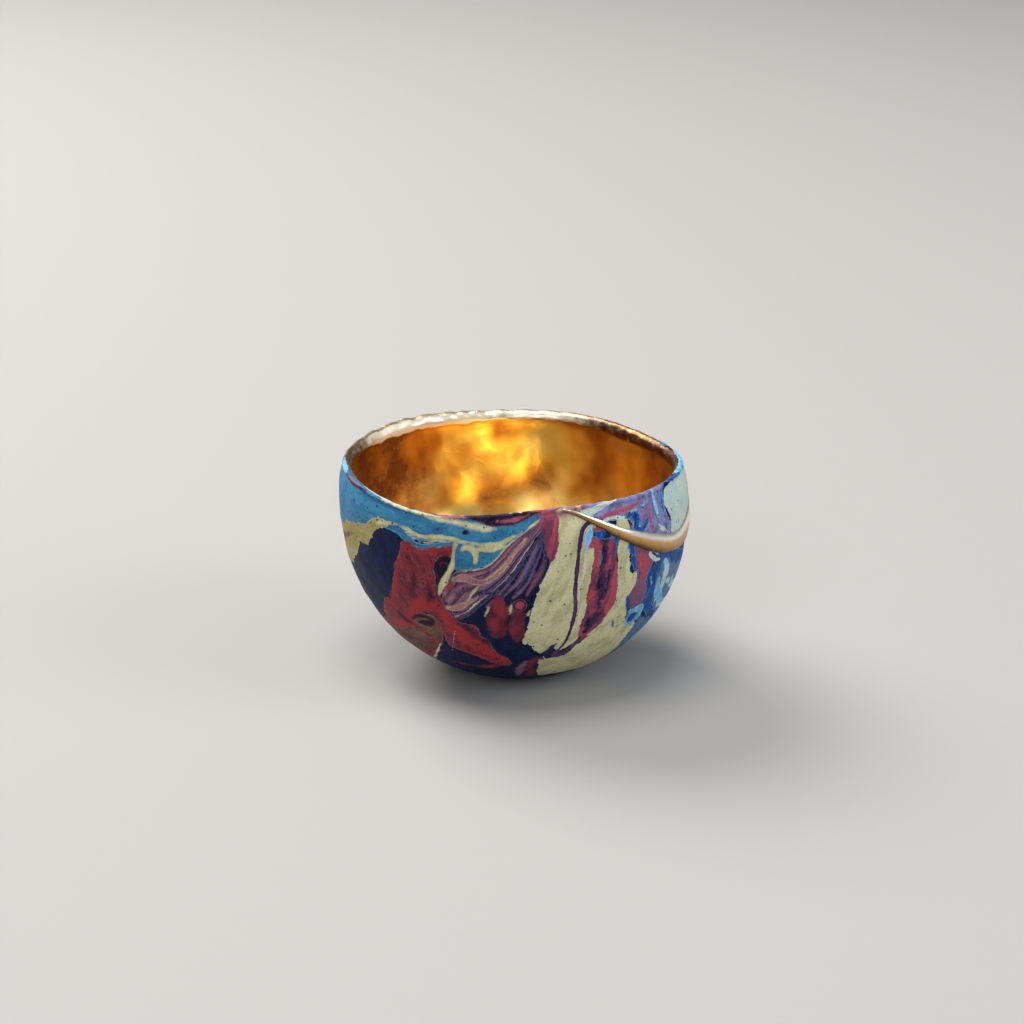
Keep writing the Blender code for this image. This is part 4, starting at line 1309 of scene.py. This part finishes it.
seam = {
    "depth": 12.3,
    "halfWidth": 2.6,
    "proud": 0.62,
    "root": 0.50,
    "rootShare": 0.96,  # of the half width, where the root starts
    "lipTop": 1.0,  # the lip's crest above the shoulder, from which the depth is measured
    "stations": [
        (17.0, 0.057, 0.085, 0.18), (20.0, 0.106, 0.154, 0.31), (25.0, 0.220, 0.238, 0.46),
        (30.0, 0.341, 0.315, 0.62), (35.0, 0.472, 0.423, 0.77), (40.0, 0.593, 0.519, 0.89),
        (45.0, 0.707, 0.615, 0.95), (50.0, 0.813, 0.712, 1.00), (55.0, 0.902, 0.750, 1.00),
        (60.0, 0.967, 0.731, 0.95), (66.0, 1.000, 0.808, 0.85), (72.0, 0.992, 0.942, 0.69),
        (78.0, 0.967, 1.000, 0.55), (84.0, 0.927, 0.942, 0.46), (90.0, 0.837, 0.808, 0.46),
        (97.0, 0.667, 0.615, 0.46), (104.0, 0.455, 0.442, 0.43), (110.0, 0.268, 0.288, 0.38),
        (115.0, 0.122, 0.162, 0.31),
    ],
    "stepsPerStation": 16,
    "sides": 20,
    "probe": (0.5, 0.3),  # degrees and mm to each side, for the wall's own slope
    "wobbleSeed": 4,
    "wobbleTurns": (0.5, 2.2),  # radians for a mm
    "wobbleStart": 6.3,
    "wobbleCount": 5,
    "waver": 0.05,  # share of the half width by which the brushed edges wander
    "domeLevel": 0.95,
    "domeUneven": 0.04,
    "domeFullness": 0.8,
    "sink": 0.10,  # how far the edges and tips dip under the paint
    "tips": (0.6, 0.5),  # how far each end runs on
}


def unit(vectors):
    return vectors / np.linalg.norm(vectors, axis=-1)[..., None]


def seamFrames():
    degrees, depth, half, high = smoothLine(seam["stations"], False, seam["stepsPerStation"]).T
    along = shoulderAlong + seam["lipTop"] - depth * seam["depth"]
    middle = onWall(degrees, along)
    aside, above = seam["probe"]
    across = onWall(degrees + aside, along) - onWall(degrees - aside, along)
    upward = onWall(degrees, along + above) - onWall(degrees, along - above)
    out = unit(np.cross(across, upward))
    side = unit(np.cross(out, np.gradient(middle, axis=0)))
    return middle, out, side, half * seam["halfWidth"], high * seam["proud"]


# Three slow wavers along the seam: of its upper edge, its lower edge and its top
def seamWobble(middle):
    travel = np.concatenate([[0], np.cumsum(np.linalg.norm(np.diff(middle, axis=0), axis=1))])
    rng = np.random.default_rng(seam["wobbleSeed"])
    wobble = np.zeros((3, len(travel)))
    for line in wobble:
        for _ in range(seam["wobbleCount"]):
            line += np.cos(travel * rng.uniform(*seam["wobbleTurns"]) + rng.uniform(0, seam["wobbleStart"]))
    return wobble / seam["wobbleCount"]


def buildSeam():
    middle, out, side, half, high = seamFrames()
    wobble = seamWobble(middle)
    steps, sides = len(middle), seam["sides"]
    points = []
    for k in range(sides):
        onTop = k <= sides / 2  # the domed top goes from one edge to the other, and the root back
        turn = 2 * math.pi * k / sides if onTop else math.pi * (k - sides / 2) / (sides / 2)
        edge, bulge = math.cos(turn), math.sin(turn)
        if onTop:
            width = half * edge * (1 + seam["waver"] * (wobble[0] if edge > 0 else wobble[1]))
            level = seam["domeLevel"] + seam["domeUneven"] * wobble[2] * bulge
            rise = high * bulge ** seam["domeFullness"] * level - seam["sink"] * (1 - bulge)
        else:
            width = -half * edge * seam["rootShare"]
            rise = -seam["sink"] - seam["root"] * bulge * half / half.max()
        points.append(middle + side * width[:, None] + out * rise[:, None])
    rings = np.array(points).transpose(1, 0, 2).reshape(-1, 3)
    tips = [
        middle[end] + unit(middle[end] - middle[before]) * length - out[end] * seam["sink"]
        for end, before, length in zip((0, -1), (1, -2), seam["tips"])
    ]
    faces = []
    for k in range(sides):
        j = (k + 1) % sides
        faces.append((steps * sides, k, j))
        faces.append((steps * sides + 1, (steps - 1) * sides + j, (steps - 1) * sides + k))
        for i in range(steps - 1):
            faces.append((i * sides + k, (i + 1) * sides + k, (i + 1) * sides + j, i * sides + j))
    piece = addPiece("goldSeam", (np.concatenate([rings, tips]) * mm).tolist(), faces)
    # 1 at the upper edge, -1 at the lower
    upper = [math.cos(2 * math.pi * k / sides) if k <= sides / 2 else -1.0 for k in range(sides)]
    storeValue(piece.data, "upper", np.array(upper * steps + [0.0, 0.0]))
    return piece


seamLook = {
    # Painted highlight colour along the seam's upper edge
    "paintedHighlight": paint(255, 248, 232),
    "highlightEdge": (0.05, 0.55),  # from the middle of the seam to its upper edge, 1
    "bright": paint(212, 166, 104),
    "dark": paint(156, 108, 62),
    # Painted shade colour for the seam's lower side
    "edge": paint(84, 50, 30),
    "lowerShadeFade": (-0.95, 0.1),
    "lowerShadeStrength": 0.85,
    "wear": 0.1,
    "leafSize": 2.4,
    "powder": (5.0, 3.0, 0.7),
    "powderShift": 0.5,
    "powderHeight": 0.5,
    "powderRough": 0.2,
    "roughness": 0.22,
    "relief": 0.05 * mm,
    "bump": 0.6,
}


def makeSeamGold():
    material, tree, shader = newMaterial("goldLacquer")
    look = seamLook
    place = placeInMm(tree)
    leaf = useGroup(tree, leafGroup, {
        "Place": place, "Bright": look["bright"], "Dark": look["dark"], "Wear": look["wear"],
        "Size": look["leafSize"],
    })
    powder = noiseAt(tree, place, *look["powder"])
    upper = calc(tree, "ADD", readValue(tree, "upper"), swing(tree, powder, look["powderShift"]))
    # Painted highlight: the upper half of the seam goes near-white towards its upper edge
    colour = blendColour(tree, fall(tree, upper, *look["highlightEdge"]), look["paintedHighlight"], leaf["Color"])
    # Painted shade: the lower half of the seam darkens towards its lower edge
    lower = calc(tree, "MULTIPLY", fall(tree, upper, *look["lowerShadeFade"]), look["lowerShadeStrength"])
    setShader(tree, shader, calc(tree, "MULTIPLY_ADD", powder, look["powderHeight"], leaf["Height"]), look, {
        "Base Color": blendColour(tree, lower, colour, look["edge"]), "Metallic": 1.0,
        "Roughness": calc(tree, "MULTIPLY_ADD", powder, look["powderRough"], look["roughness"]),
    })
    return material


goldSeam = buildSeam()
goldSeam.data.materials.append(makeSeamGold())
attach(goldSeam, "root")
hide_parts("kintsugi_seam")
print("gold seam built,", len(goldSeam.data.polygons), "faces")


# Floor and light

studio = {
    "floorSize": 8.0,
    "floor": paint(176, 173, 170),
    "floorRoughness": 0.8,
    "world": (0.76, 0.80, 0.86, 1.0),
    "worldStrength": 0.28,
    "lights": [
        # name, place in m, size in m, watts, colour
        ("window", (-0.75, 0.75, 0.95), 0.9, 20.0, (1.0, 0.98, 0.95)),
        ("overhead", (-0.15, -0.15, 1.3), 0.8, 10.0, (1.0, 0.98, 0.96)),
        ("frontFill", (-0.35, -1.1, 0.7), 0.9, 4.0, (0.92, 0.96, 1.0)),
        ("rightFill", (1.0, -0.3, 0.55), 0.6, 4.5, (0.90, 0.95, 1.0)),
    ],
}


def addStudio():
    half = studio["floorSize"] / 2
    corners = [(-half, -half, 0), (half, -half, 0), (half, half, 0), (-half, half, 0)]
    floor = addPiece("floor", corners, [(0, 1, 2, 3)])
    material, tree, shader = newMaterial("floorPaper")
    shader.inputs["Base Color"].default_value = studio["floor"]
    shader.inputs["Roughness"].default_value = studio["floorRoughness"]
    floor.data.materials.append(material)
    world = bpy.data.worlds.new("studio")
    world.use_nodes = True
    world.node_tree.nodes["Background"].inputs["Color"].default_value = studio["world"]
    world.node_tree.nodes["Background"].inputs["Strength"].default_value = studio["worldStrength"]
    bpy.context.scene.world = world
    for name, spot, size, power, colour in studio["lights"]:
        light = bpy.data.lights.new(name, "AREA")
        light.shape = "DISK"
        light.size = size
        light.energy = power
        light.color = colour
        holder = bpy.data.objects.new(name, light)
        holder.location = spot
        toCup = -holder.location
        holder.rotation_euler = toCup.to_track_quat("-Z", "Y").to_euler()
        bpy.context.scene.collection.objects.link(holder)
    bpy.context.scene.view_settings.view_transform = "Standard"


addStudio()
print("floor and lights placed")
